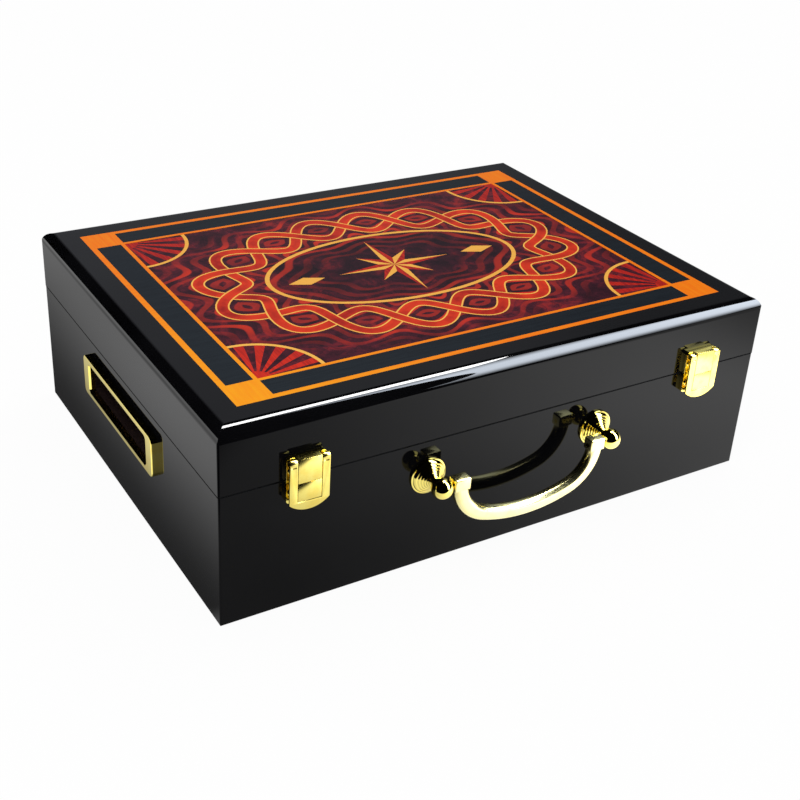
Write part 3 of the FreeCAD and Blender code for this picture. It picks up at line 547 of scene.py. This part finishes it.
class Bench:
    """Modelling by operators. A method that shapes works on what is selected in edit mode."""

    @staticmethod
    def clear() -> None:
        """Leaves edit mode and selects nothing."""
        if bpy.context.object and bpy.context.object.mode != "OBJECT":
            bpy.ops.object.mode_set(mode="OBJECT")
        bpy.ops.object.select_all(action="DESELECT")

    @staticmethod
    def edit() -> None:
        """Goes into edit mode on the active object."""
        bpy.ops.object.mode_set(mode="EDIT")

    @staticmethod
    def extrude(push: Sequence[float]) -> None:
        """Extrudes the selection along a vector."""
        bpy.ops.mesh.extrude_region_move(TRANSFORM_OT_translate={"value": tuple(push)})

    @staticmethod
    def resize(scale: Sequence[float], centre: Sequence[float]) -> None:
        """Scales the selection about a centre."""
        bpy.ops.transform.resize(value=tuple(scale), center_override=tuple(centre))

    @staticmethod
    def settle(name: str) -> bpy.types.Object:
        """Closes and orients the edited mesh, puts its place into the mesh and names it.

        Args:
            name: The piece's name.

        Returns:
            The finished piece, at the origin.
        """
        bpy.ops.mesh.select_all(action="SELECT")
        bpy.ops.mesh.remove_doubles(threshold=MERGE)
        bpy.ops.mesh.normals_make_consistent(inside=False)
        bpy.ops.object.mode_set(mode="OBJECT")
        bpy.ops.object.transform_apply(location=True, rotation=True, scale=True)
        piece = bpy.context.object
        piece.name = name
        piece.data.name = name
        return piece

    @staticmethod
    def smooth(piece: bpy.types.Object, angle: float = 32.0) -> None:
        """Smooths a piece's shading across edges flatter than an angle in degrees."""
        Bench.clear()
        piece.select_set(True)
        bpy.context.view_layer.objects.active = piece
        bpy.ops.object.shade_smooth_by_angle(angle=math.radians(angle))

    @staticmethod
    def ease(piece: bpy.types.Object, width: float, segments: int = 2, angle: float = 32.0) -> None:
        """Eases a piece's edges with an applied bevel.

        Args:
            piece: The piece.
            width: The bevel's width.
            segments: How many steps round it has.
            angle: The least turn of an edge that is eased, in degrees.
        """
        Bench.clear()
        piece.select_set(True)
        bpy.context.view_layer.objects.active = piece
        bevel = piece.modifiers.new("eased", "BEVEL")
        bevel.width = width
        bevel.segments = segments
        bevel.limit_method = "ANGLE"
        bevel.angle_limit = math.radians(angle)
        bpy.ops.object.modifier_apply(modifier=bevel.name)

    @staticmethod
    def copy_of(node: str, name: str) -> bpy.types.Object:
        """A merged copy of a CAD node, with its flat faces joined.

        Args:
            node: The node's name.
            name: The copy's name.

        Returns:
            The copy.
        """
        Bench.clear()
        piece = bpy.data.objects.new(name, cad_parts[node].data.copy())
        bpy.context.scene.collection.objects.link(piece)
        piece.select_set(True)
        bpy.context.view_layer.objects.active = piece
        Bench.edit()
        bpy.ops.mesh.select_all(action="SELECT")
        bpy.ops.mesh.remove_doubles(threshold=COPY_MERGE)
        bpy.ops.mesh.dissolve_limited(angle_limit=FLAT_TURN)
        return Bench.settle(name)


def dress(piece: bpy.types.Object, finish: Finish) -> None:
    """Gives a piece one finish all over."""
    piece.data.materials.clear()
    piece.data.materials.append(finish.material())


def dress_nodes(finish: Finish, *nodes: str) -> None:
    """Gives CAD nodes one finish and reports each."""
    for node in nodes:
        dress(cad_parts[node], finish)
        log.info("dressed %s in %s", node, finish.name)


def fit(piece: bpy.types.Object, finish: Finish, slot: str, body: str, *nodes: str) -> None:
    """Dresses a new piece and seats it in place of CAD nodes.

    Args:
        piece: The new piece.
        finish: Its finish.
        slot: A material slot's name; not used.
        body: The body that it moves with.
        nodes: The nodes that it stands for, if any.
    """
    dress(piece, finish)
    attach(piece, body)
    if nodes:
        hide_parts(*nodes)
    log.info("fitted %s on %s", piece.name, body)


@dataclass
class Woodwork:
    """The lacquered case and lid with their panels."""

    lacquer: Finish = BlackLacquer("black_lacquer")
    panel: Finish = Board("panel_board", colour(0.30, 0.18, 0.09), colour(0.20, 0.11, 0.05), 0.7)

    def dress(self) -> None:
        """Dresses the walls, rails and panels."""
        for side in ("front", "back", "left", "right"):
            dress_nodes(self.lacquer, f"base_{side}_wall", f"lid_{side}_rail")
        dress_nodes(self.panel, "base_bottom_panel", "lid_top_panel")


@dataclass
class Interior:
    """The linings, chip racks, trays and gallery."""

    felt: Finish = Pile("black_felt", colour(0.030, 0.030, 0.032), colour(0.012, 0.012, 0.013), 0.6 * MM)
    velvet: Finish = Pile("burgundy_velvet")
    rack: Finish = Board("black_rack", colour(0.022, 0.022, 0.024), colour(0.012, 0.012, 0.013), 0.36)
    board: Finish = Board("rack_board", colour(0.026, 0.025, 0.026), colour(0.014, 0.014, 0.015), 0.3)

    def dress(self) -> None:
        """Dresses all that the closed box hides."""
        dress_nodes(self.felt, "base_felt_sheet")
        dress_nodes(self.velvet, "base_lining", "lid_lining_board")
        for side in ("left", "right"):
            dress_nodes(self.rack, f"chip_rack_{side}", f"chip_tray_{side}")
        dress_nodes(self.board, "rack_end_boards", "gallery_wall", "gallery_partitions", "centre_divider")


@dataclass
class Inlay:
    """The marquetry let into the lid's top."""

    # Each straight veneer carries painted light, paler towards the front left corner.
    strings: Finish = StraightVeneer("orange_veneer_long")
    blocks: Finish = StraightVeneer("orange_veneer_blocks", grain=Axis.Y)
    bands: Finish = StraightVeneer(
        "blue_black_veneer", colour(0.014, 0.020, 0.026), colour(0.006, 0.009, 0.013), contrast=0.6,
        painted_light_share=0.4,
    )
    ground: Finish = BurlVeneer("maroon_burl")
    disc: Finish = BurlVeneer(
        "dark_burl", colour(0.008, 0.003, 0.006), colour(0.050, 0.007, 0.016), colour(0.17, 0.010, 0.014),
        oval_x=92.4 * MM, oval_y=50.5 * MM, lobes=8, lobe_depth=8 * MM, echo_fade=40 * MM, echo_share=0.55,
    )
    gold: Finish = StraightVeneer(
        "gold_veneer", colour(0.98, 0.56, 0.11), colour(0.85, 0.36, 0.04), painted_light_share=0.4
    )
    red: Finish = StraightVeneer(
        "red_veneer", colour(0.74, 0.030, 0.010), colour(0.30, 0.008, 0.008), grain=Axis.Y, contrast=0.7,
        painted_light_share=0.4,
    )

    def dress(self) -> None:
        """Dresses each kind of veneer."""
        dress_nodes(self.strings, "inlay_strings")
        dress_nodes(self.blocks, "inlay_corner_blocks")
        dress_nodes(self.bands, "inlay_border_bands")
        dress_nodes(self.ground, "inlay_burl_ground")
        dress_nodes(self.disc, "inlay_medallion_disc")
        dress_nodes(self.gold, "inlay_medallion_ring", "inlay_star_light")
        dress_nodes(self.gold, "inlay_fan_bands", "inlay_lozenges")
        dress_nodes(self.red, "inlay_star_dark", "inlay_fan_rays")


@dataclass
class Braid:
    """The two strands of veneer that weave round the medallion."""

    half_x: float = 124.4 * MM
    half_y: float = 76.65 * MM
    swing: float = 16 * MM
    waves: int = 8
    width: float = 9 * MM
    steps_per_wave: int = 40
    weave: float = 0.035 * MM
    finish: Finish = RibbonVeneer("red_ribbon")

    def point(self, turn: float, phase: float) -> Vector:
        """A point on a strand's middle line at its upper face.

        Args:
            turn: The angle round the oval.
            phase: Where the strand's wave starts.

        Returns:
            The point.
        """
        normal = Vector((math.cos(turn) / self.half_x, math.sin(turn) / self.half_y)).normalized()
        stretch = (self.half_x**2 - self.half_y**2) / (self.half_x**2 + self.half_y**2) / 4
        wave = self.waves * (turn - stretch * math.sin(2 * turn)) + phase
        sideways = self.swing * math.sin(wave) * normal
        middle = Vector((self.half_x * math.cos(turn), self.half_y * math.sin(turn))) + sideways
        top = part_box("inlay_braid_over")[1].z + self.weave * (1.4 + math.cos(wave))
        return Vector((middle.x, middle.y, top))

    def profile(self, depth: float) -> bpy.types.Object:
        """The strand's flat section, a rectangle below its middle line.

        Args:
            depth: How deep the strand goes.

        Returns:
            The section as a closed curve.
        """
        data = bpy.data.curves.new("strand_section", "CURVE")
        data.dimensions = "2D"
        spline = data.splines.new("POLY")
        spline.points.add(3)
        half = self.width / 2
        corners = ((-half, -depth), (-half, 0.0), (half, 0.0), (half, -depth))
        for point, (x, y) in zip(spline.points, corners):
            point.co = (x, y, 0.0, 1.0)
        spline.use_cyclic_u = True
        section = bpy.data.objects.new("strand_section", data)
        bpy.context.scene.collection.objects.link(section)
        return section

    def strand(self, name: str, phase: float) -> bpy.types.Object:
        """One closed strand, swept along its middle line and made a mesh.

        Args:
            name: The strand's name.
            phase: Where its wave starts.

        Returns:
            The strand.
        """
        low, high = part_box("inlay_braid_over")
        section = self.profile(high.z - low.z)
        data = bpy.data.curves.new(name, "CURVE")
        data.dimensions = "3D"
        data.twist_mode = "Z_UP"
        spline = data.splines.new("POLY")
        count = self.waves * self.steps_per_wave
        spline.points.add(count - 1)
        for index, point in enumerate(spline.points):
            point.co = (*self.point(2 * math.pi * index / count, phase), 1.0)
        spline.use_cyclic_u = True
        data.bevel_mode = "OBJECT"
        data.bevel_object = section
        piece = bpy.data.objects.new(name, data)
        bpy.context.scene.collection.objects.link(piece)
        Bench.clear()
        piece.select_set(True)
        bpy.context.view_layer.objects.active = piece
        bpy.ops.object.convert(target="MESH")
        bpy.data.objects.remove(section)
        self.chart(piece)
        return piece

    def chart(self, piece: bpy.types.Object) -> None:
        """Stretches the map so that the upper face runs from 0 to 1 across."""
        sides = 4.0
        layer = piece.data.uv_layers[0].data
        for face in piece.data.polygons:
            first = min(layer[loop].uv.y for loop in face.loop_indices)
            for loop in face.loop_indices:
                layer[loop].uv.y = (layer[loop].uv.y - first) * sides

    def build(self) -> None:
        """Builds both strands in place of their nodes."""
        for name, phase in (("over", 0.0), ("under", math.pi)):
            piece = self.strand(f"braid_strand_{name}", phase)
            Bench.smooth(piece, 30.0)
            fit(piece, self.finish, "red_veneer", "lid", f"inlay_braid_{name}")


@dataclass
class CarryHandle:
    """The turned posts, the drop bail and what holds them."""

    brass: Finish = PolishedBrass("polished_brass")
    # The bail's brass is a paler copy of the posts' brass: painted light for the brightness that falls on
    # it.
    painted_light_bail_brass: Finish = PolishedBrass("painted_light_bail_brass", colour(1.0, 0.91, 0.45), colour(1.0, 0.86, 0.34), 0.2)
    steel: Finish = Steel("steel_fixings")
    ring_sides: int = 72
    disc: float = 12.2 * MM
    disc_thickness: float = 1.6 * MM
    bell: float = 10.9 * MM
    bell_start: float = 2.6 * MM
    neck: float = 2.9 * MM
    neck_length: float = 0.4 * MM
    ball: float = 6.8 * MM
    ball_offset: float = 16.7 * MM
    ridges: int = 7
    ridge_bulge: float = 0.18 * MM
    ridge_steps: int = 6
    flare: float = 1.5
    ball_steps: int = 20
    disc_edge: float = 0.35 * MM
    pin: float = 1.5 * MM
    lug_width: float = 11 * MM
    lug_drop: float = 3.5 * MM
    lug_edge: float = 0.8 * MM
    bail_width: float = 10 * MM
    bail_thickness: float = 8 * MM
    bar_inset: float = 0.06 * MM
    bail_corner: float = 3.6 * MM
    corner_steps: int = 8
    bend_radius: float = 28 * MM
    bottom_radius: float = 100 * MM
    bend_steps: int = 26
    bottom_steps: int = 30

    def rings(self) -> list[tuple[float, float]]:
        """The post's outline as radii and distances from the wall, without its two poles."""
        edge = self.disc_edge
        face = self.disc_thickness
        rings = [(self.disc - edge, 0.0), (self.disc, edge), (self.disc, face - edge)]
        rings += [(self.disc - 0.3 * edge, face - 0.3 * edge), (self.disc - edge, face)]
        rings += [(self.bell + edge, face + 0.5 * edge), (self.bell, self.bell_start)]
        seat = math.sqrt(self.ball**2 - self.neck**2)
        end = self.ball_offset - seat - self.neck_length
        for ridge in range(self.ridges):
            rings += self.ridge(self.bell_point(ridge, end), self.bell_point(ridge + 1, end))
        start = math.atan2(self.neck, -seat)
        for step in range(self.ball_steps):
            turn = start * (1 - step / self.ball_steps)
            rings.append((self.ball * math.sin(turn), self.ball_offset + self.ball * math.cos(turn)))
        return rings

    def bell_point(self, ridge: int, end: float) -> tuple[float, float]:
        """The radius and distance where a ridge starts."""
        share = ridge / self.ridges
        radius = self.neck + (self.bell - self.neck) * (1 - share) ** self.flare
        return radius, self.bell_start + (end - self.bell_start) * share

    def ridge(self, start: tuple[float, float], end: tuple[float, float]) -> list[tuple[float, float]]:
        """The rings of one rounded ridge, without the ring that it starts from."""
        run = (end[0] - start[0], end[1] - start[1])
        size = math.hypot(*run)
        rings = []
        for step in range(1, self.ridge_steps + 1):
            share = step / self.ridge_steps
            bulge = self.ridge_bulge * math.sin(math.pi * share) ** 0.8 if step < self.ridge_steps else 0.0
            radius = start[0] + run[0] * share + bulge * run[1] / size
            rings.append((radius, start[1] + run[1] * share - bulge * run[0] / size))
        return rings

    def post(self, node: str) -> bpy.types.Object:
        """Turns a post ring by ring out from the wall.

        Args:
            node: The CAD node that it stands for.

        Returns:
            The post.
        """
        low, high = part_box(node)
        centre = Vector(((low.x + high.x) / 2, high.y, (low.z + high.z) / 2))
        rings = self.rings()
        Bench.clear()
        radius, offset = rings[0]
        bpy.ops.mesh.primitive_circle_add(
            vertices=self.ring_sides, radius=radius, fill_type="NGON",
            location=centre, rotation=(math.pi / 2, 0.0, 0.0),
        )
        Bench.edit()
        for next_radius, next_offset in rings[1:]:
            Bench.extrude((0.0, offset - next_offset, 0.0))
            scale = next_radius / radius
            Bench.resize((scale, 1.0, scale), centre - Vector((0.0, next_offset, 0.0)))
            radius, offset = next_radius, next_offset
        Bench.extrude((0.0, offset - self.ball_offset - self.ball, 0.0))
        bpy.ops.mesh.merge(type="CENTER")
        return Bench.settle(f"turned_{node}")

    def section(self, x: float, z: float, size: tuple[float, float], corner: float, steps: int) -> None:
        """Starts a rounded flat section under the pivot line, in edit mode.

        Args:
            x: Its middle.
            z: Its height.
            size: Its sizes along X and Y.
            corner: The round of its corners.
            steps: How many steps a corner has.
        """
        low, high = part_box("carry_bail")
        middle = (x, (low.y + high.y) / 2, z)
        Bench.clear()
        bpy.ops.mesh.primitive_plane_add(size=1.0, location=middle)
        Bench.edit()
        Bench.resize((*size, 1.0), middle)
        bpy.ops.mesh.bevel(offset=corner, segments=steps, affect="VERTICES")

    def bar(self) -> bpy.types.Object:
        """Bends the bail's bar from one rounded section.

        Returns:
            The bar, whose ends lie inside the lugs.
        """
        low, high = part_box("carry_bail")
        pivot_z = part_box("handle_pivot_pins")[0].z + self.pin
        leg_x = low.x + self.lug_width / 2
        middle_y = (low.y + high.y) / 2
        bend_x = leg_x + self.bend_radius
        slope = math.asin(-bend_x / (self.bottom_radius - self.bend_radius))
        join_z = pivot_z - self.bend_radius * math.cos(slope)
        top_z = join_z + self.bottom_radius * math.cos(slope)
        size = (self.bail_width, self.bail_thickness - 2 * self.bar_inset)
        self.section(leg_x, pivot_z, size, self.bail_corner, self.corner_steps)
        bend = {"steps": self.bend_steps, "axis": (0.0, 1.0, 0.0), "angle": math.pi / 2 - slope}
        bpy.ops.mesh.spin(center=(bend_x, middle_y, pivot_z), **bend)
        bpy.ops.mesh.spin(
            steps=self.bottom_steps, angle=2 * slope, center=(0.0, middle_y, top_z), axis=(0.0, 1.0, 0.0)
        )
        bpy.ops.mesh.spin(center=(-bend_x, middle_y, pivot_z), **bend)
        bar = Bench.settle("bent_carry_bail")
        Bench.smooth(bar, 40.0)
        return bar

    def lug(self, side: str) -> bpy.types.Object:
        """The eased block at one end of the bar, round its pivot pin.

        Args:
            side: left or right.

        Returns:
            The lug.
        """
        low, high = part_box("carry_bail")
        pivot_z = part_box("handle_pivot_pins")[0].z + self.pin
        edge = low.x if side == "left" else high.x - self.lug_width
        size = (self.lug_width, self.bail_thickness)
        self.section(edge + self.lug_width / 2, high.z, size, self.lug_edge, 3)
        Bench.extrude((0.0, 0.0, pivot_z - self.lug_drop - high.z))
        lug = Bench.settle(f"lug_{side}")
        Bench.ease(lug, self.lug_edge, 3, 60.0)
        Bench.smooth(lug)
        return lug

    def build(self) -> None:
        """Builds and dresses the handle."""
        for side in ("left", "right"):
            node = f"handle_post_{side}"
            post = self.post(node)
            Bench.smooth(post, 38.0)
            fit(post, self.brass, "polished_brass", "base", node)
            fit(self.lug(side), self.painted_light_bail_brass, "polished_brass", "carry_bail")
        fit(self.bar(), self.painted_light_bail_brass, "polished_brass", "carry_bail", "carry_bail")
        dress_nodes(self.steel, "handle_screws", "handle_washers")
        dress_nodes(self.brass, "handle_pivot_pins")


@dataclass
class Latches:
    """The two latches: plates, flaps, pins and screws."""

    brass: Finish = PolishedBrass("latch_brass", roughness=0.15, lay=Axis.Z)
    fixings: Finish = PolishedBrass("brass_fixings", roughness=0.12)
    edge: float = 0.22 * MM

    def build(self) -> None:
        """Builds each latch's pieces with eased edges and dresses them."""
        for side in ("left", "right"):
            for part, body in (
                ("lid_plate", "lid"),
                ("base_plate", "base"),
                ("flap", f"latch_flap_{side}"),
            ):
                node = f"latch_{side}_{part}"
                piece = Bench.copy_of(node, f"eased_{node}")
                Bench.ease(piece, self.edge)
                Bench.smooth(piece)
                fit(piece, self.brass, "polished_brass", body, node)
        dress_nodes(self.fixings, "latch_pins", "latch_lid_screws", "latch_base_screws")


@dataclass
class SidePulls:
    """The recessed pull in each end wall."""

    brass: Finish = PolishedBrass("pull_brass", lay=Axis.Y)
    cup: Finish = Board("dark_cup", colour(0.020, 0.012, 0.012), colour(0.010, 0.006, 0.006), 0.16)

    def dress(self) -> None:
        """Dresses the bezels and cups."""
        dress_nodes(self.brass, "side_pull_left_bezel", "side_pull_right_bezel")
        dress_nodes(self.cup, "side_pull_left_cup", "side_pull_right_cup")


@dataclass
class Hinges:
    """The two hinges at the back."""

    brass: Finish = PolishedBrass("hinge_brass", roughness=0.1)
    fixings: Finish = PolishedBrass("hinge_screw_brass", roughness=0.14)
    edge: float = 0.2 * MM

    def build(self) -> None:
        """Builds each leaf with eased edges and dresses the pins and screws."""
        for side in ("left", "right"):
            for body in ("base", "lid"):
                node = f"hinge_{side}_{body}_leaf"
                piece = Bench.copy_of(node, f"eased_{node}")
                Bench.ease(piece, self.edge)
                Bench.smooth(piece)
                fit(piece, self.brass, "brass_fixings", body, node)
        dress_nodes(self.fixings, "hinge_pins", "hinge_base_screws", "hinge_lid_screws")


@dataclass(frozen=True)
class PaintedHighlightPanel:
    """A glowing panel that lights nothing and that only polished surfaces see, painting their highlights:
    brightest across its middle, or even.

    Its tones count in whites, and the lid's top mirrors it from behind and from above.
    """

    name: str
    centre: tuple[float, float, float]
    width: float
    height: float
    lean: float
    edge_tone: Colour
    middle_tone: Colour


@dataclass(frozen=True)
class Lamp:
    """A softbox that lights the box, with its place, its width and height, and its power in watts."""

    name: str
    place: tuple[float, float, float]
    size: tuple[float, float]
    power: float


@dataclass
class Studio:
    """The pale floor, with painted shadow and painted light in what polished surfaces mirror, the dark room
    round it as a painted reflection, the panels that paint highlights on polished surfaces, and the lamps.
    """

    floor_radius: float = 14.0
    paper: Colour = colour(0.90, 0.90, 0.90)
    fleck: Colour = colour(0.86, 0.86, 0.86)
    seen_glow: float = 0.95
    room_light: float = 0.62
    dome_radius: float = 7.0
    dome: Colour = colour(0.0010, 0.0010, 0.0012)
    painted_far_wall_reflection: Colour = colour(0.15, 0.155, 0.17)
    aim_z: float = 0.1
    # The panels paint the highlights on the brass and on the lacquer's rounded edges.
    panels: tuple[PaintedHighlightPanel, ...] = (
        PaintedHighlightPanel(
            "front_panel", (1.52, -1.26, 1.5), 0.9, 3.6, 27.0,
            colour(2.6, 2.8, 3.1), colour(11, 12, 13.5),
        ),
        PaintedHighlightPanel("top_panel", (0.874, 0.299, 2.155), 0.76, 0.8, -61.0, colour(24, 24, 24), colour(24, 24, 24)),
    )

    lamps: tuple[Lamp, ...] = (
        Lamp("key_softbox", (-1.6, -1.4, 3.6), (2.4, 2.4), 62.0),
        Lamp("fill_softbox", (2.2, 1.0, 3.4), (1.6, 1.6), 22.0),
    )
    lamp_aim_z: float = 0.08

    def paths(self, graph: Graph) -> tuple[Wire, Wire]:
        """1 for a ray from the camera or through glass, and 1 for a mirrored ray.

        Args:
            graph: The material's graph.

        Returns:
            The two values.
        """
        camera = graph.node("ShaderNodeLightPath", output="Is Camera Ray")
        glass = graph.node("ShaderNodeLightPath", output="Is Transmission Ray")
        mirrored = graph.node("ShaderNodeLightPath", output="Is Glossy Ray")
        return graph.maths("MAXIMUM", camera, glass), mirrored

    def painted_floor_light_and_shadow(self, graph: Graph) -> Wire:
        """How bright the floor is in what polished surfaces mirror, painted with shadow and light: dark
        close to the left and front walls, a bright pool ahead of the front right, dark beyond the front; it
        lights nothing else.

        Args:
            graph: The floor's graph.

        Returns:
            A quarter of its brightness, so that 0.25 is white.
        """
        at = graph.place()
        x, y = graph.split(at, Axis.X), graph.split(at, Axis.Y)
        left_edge, front_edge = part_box("base_left_wall")[0].x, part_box("base_front_wall")[0].y
        ahead = front_edge - y
        aside = left_edge - x
        # Painted light: a bright pool ahead of the box, brightest towards the front right, up to over three
        # times white.
        across = 0.85 + 2.4 * x.ramp(-0.16, 0.24) - 1.9 * x.ramp(0.27, 0.42)
        reach = (ahead - 0.75 * x).ramp(0.31, 0.24)
        # Painted shadow: darker close to the front wall, and dark beyond the front.
        front = across * (0.72 + 0.28 * ahead.ramp(0.0, 0.12)) * reach
        # Painted shadow: very dark close to the left wall, and darker towards the back.
        left = (0.12 + 1.15 * aside.ramp(0.0, 0.09)) * (1 - 0.4 * y.ramp(0.0, 0.35))
        in_front, on_left = ahead.ramp(-0.02, 0.0), aside.ramp(-0.01, 0.0)
        behind = 1.0 + on_left * (left - 1.0)
        return (behind + in_front * (front - behind)) * 0.25

    def floor(self) -> None:
        """Lays the floor, which shows nearly white and keeps the box's shadow; what polished surfaces mirror
        of it carries painted shadow and painted light.
        """
        Bench.clear()
        bpy.ops.mesh.primitive_circle_add(vertices=64, radius=self.floor_radius, fill_type="NGON")
        floor = bpy.context.object
        floor.name = "floor"
        graph = Graph("floor_paper")
        fibre = graph.noise(graph.place(), 4 * MM, 3.0)
        tone = graph.mix(fibre * 0.1, self.paper, self.fleck)
        paper = graph.node("ShaderNodeBsdfDiffuse", inputs={"Color": tone})
        white = graph.node("ShaderNodeEmission", inputs={"Color": colour(1.0, 1.0, 1.0)})
        # The mirrored floor glows with the painted shadow and painted light.
        painted_floor_light_and_shadow = graph.mix(self.painted_floor_light_and_shadow(graph), colour(0.0, 0.0, 0.0), colour(4.0, 4.0, 4.0))
        mirror = graph.node("ShaderNodeEmission", inputs={"Color": painted_floor_light_and_shadow})
        seen, mirrored = self.paths(graph)
        lit = graph.node("ShaderNodeMixShader", inputs={0: seen * self.seen_glow, 1: paper, 2: white})
        graph.finish(graph.node("ShaderNodeMixShader", inputs={0: mirrored, 1: lit, 2: mirror}))
        floor.data.materials.append(graph.material)

    def mirrored_only(self, piece: bpy.types.Object, graph: Graph, tone: Wire) -> None:
        """Makes an object glow for polished surfaces alone.

        Args:
            piece: The panel or dome.
            graph: Its material's graph.
            tone: Its colour, in which 1 is white.
        """
        graph.finish(graph.node("ShaderNodeEmission", inputs={"Color": tone}))
        piece.data.materials.append(graph.material)
        piece.visible_camera = False
        piece.visible_diffuse = False
        piece.visible_transmission = False
        piece.visible_shadow = False

    def room(self) -> None:
        """Stands a dark dome over the floor that only polished surfaces see: a painted reflection of a dark
        room, with a paler painted far wall to the back right.
        """
        Bench.clear()
        bpy.ops.mesh.primitive_uv_sphere_add(segments=64, ring_count=32, radius=self.dome_radius)
        Bench.edit()
        bpy.ops.mesh.bisect(plane_co=(0.0, 0.0, 0.0), plane_no=(0.0, 0.0, 1.0), clear_inner=True)
        bpy.ops.object.mode_set(mode="OBJECT")
        dome = bpy.context.object
        dome.name = "painted_reflection_room"
        graph = Graph(dome.name)
        at = graph.place()
        x, y, z = (graph.split(at, axis) for axis in Axis)
        # Painted reflection: a paler far wall on the dome to the back right.
        wall = x.ramp(0.0, 1.6) * (1 - 0.6 * x.ramp(3.2, 4.8)) * y.ramp(0.0, 3.0) * z.ramp(4.7, 3.9)
        self.mirrored_only(dome, graph, graph.mix(wall, self.dome, self.painted_far_wall_reflection))

    def hang(self, panel: PaintedHighlightPanel) -> None:
        """Hangs one panel, which faces the box and paints highlights on polished surfaces."""
        Bench.clear()
        bpy.ops.mesh.primitive_plane_add(size=1.0)
        piece = bpy.context.object
        piece.name = panel.name
        piece.scale = (panel.width, panel.height, 1.0)
        piece.location = panel.centre
        aim = Vector((0.0, 0.0, self.aim_z)) - Vector(panel.centre)
        piece.rotation_mode = "QUATERNION"
        lean = Quaternion((0.0, 0.0, 1.0), math.radians(panel.lean))
        piece.rotation_quaternion = aim.to_track_quat("Z", "Y") @ lean
        bpy.ops.object.transform_apply(location=True, rotation=True, scale=True)
        graph = Graph(panel.name)
        chart = graph.node("ShaderNodeTexCoord", output="UV")
        off_middle = abs(graph.split(chart, Axis.Y) - 0.5) * 2
        # Painted highlight: the panel glows brightest across its middle, or evenly.
        tone = graph.mix(off_middle.ramp(1.0, 0.2), panel.edge_tone, panel.middle_tone)
        self.mirrored_only(piece, graph, tone)

    def surround(self) -> None:
        """Fills the world with white for what is seen and a plain level for what is lit."""
        world = bpy.data.worlds.new("surround")
        bpy.context.scene.world = world
        world.use_nodes = True
        graph = Graph("surround", world.node_tree)
        seen, mirrored = self.paths(graph)
        level = graph.maths("MAXIMUM", graph.maths("MAXIMUM", seen, mirrored), self.room_light)
        inputs = {"Color": colour(1.0, 1.0, 1.0), "Strength": level}
        light = graph.node("ShaderNodeBackground", inputs=inputs)
        graph.finish(light, "ShaderNodeOutputWorld")

    def light(self, lamp: Lamp) -> None:
        """Hangs one lamp, which faces the box and has no mirror image of its own."""
        data = bpy.data.lights.new(lamp.name, "AREA")
        data.shape = "RECTANGLE"
        data.size, data.size_y = lamp.size
        data.energy = lamp.power
        piece = bpy.data.objects.new(lamp.name, data)
        bpy.context.scene.collection.objects.link(piece)
        piece.visible_glossy = False
        piece.location = lamp.place
        aim = Vector((0.0, 0.0, self.lamp_aim_z)) - Vector(lamp.place)
        piece.rotation_mode = "QUATERNION"
        piece.rotation_quaternion = aim.to_track_quat("-Z", "Y")

    def build(self) -> None:
        """Sets up the whole studio."""
        self.floor()
        self.room()
        for panel in self.panels:
            self.hang(panel)
        self.surround()
        for lamp in self.lamps:
            self.light(lamp)
        bpy.context.scene.view_settings.view_transform = "Standard"


@dataclass
class Viewpoint:
    """The photograph's camera, found by least squares on the box's edges."""

    place: tuple[float, float, float] = (-0.43127, -0.68916, 0.48572)
    azimuth: float = -32.577
    elevation: float = 27.944
    roll: float = 3.40
    lens: float = 57.61
    shift_y: float = -0.048

    def build(self) -> None:
        """Sets up the camera."""
        turn, rise = math.radians(self.azimuth), math.radians(self.elevation)
        back = Vector((math.sin(turn) * math.cos(rise), -math.cos(turn) * math.cos(rise), math.sin(rise)))
        data = bpy.data.cameras.new("viewpoint")
        data.lens = self.lens
        data.sensor_width = 36.0
        data.shift_y = self.shift_y
        data.clip_start = 0.02
        data.clip_end = 60.0
        camera = bpy.data.objects.new("viewpoint", data)
        bpy.context.scene.collection.objects.link(camera)
        camera.location = self.place
        camera.rotation_mode = "QUATERNION"
        upright = (-back).to_track_quat("-Z", "Y")
        camera.rotation_quaternion = Quaternion(back, math.radians(self.roll)) @ upright
        bpy.context.scene.camera = camera


def main() -> None:
    """Builds and dresses the box, then the studio and the camera."""
    logging.basicConfig(level=logging.INFO, format="%(message)s")
    Woodwork().dress()
    Interior().dress()
    Inlay().dress()
    Braid().build()
    CarryHandle().build()
    Latches().build()
    SidePulls().dress()
    Hinges().build()
    Studio().build()
    Viewpoint().build()


if __name__ == "__main__":
    main()
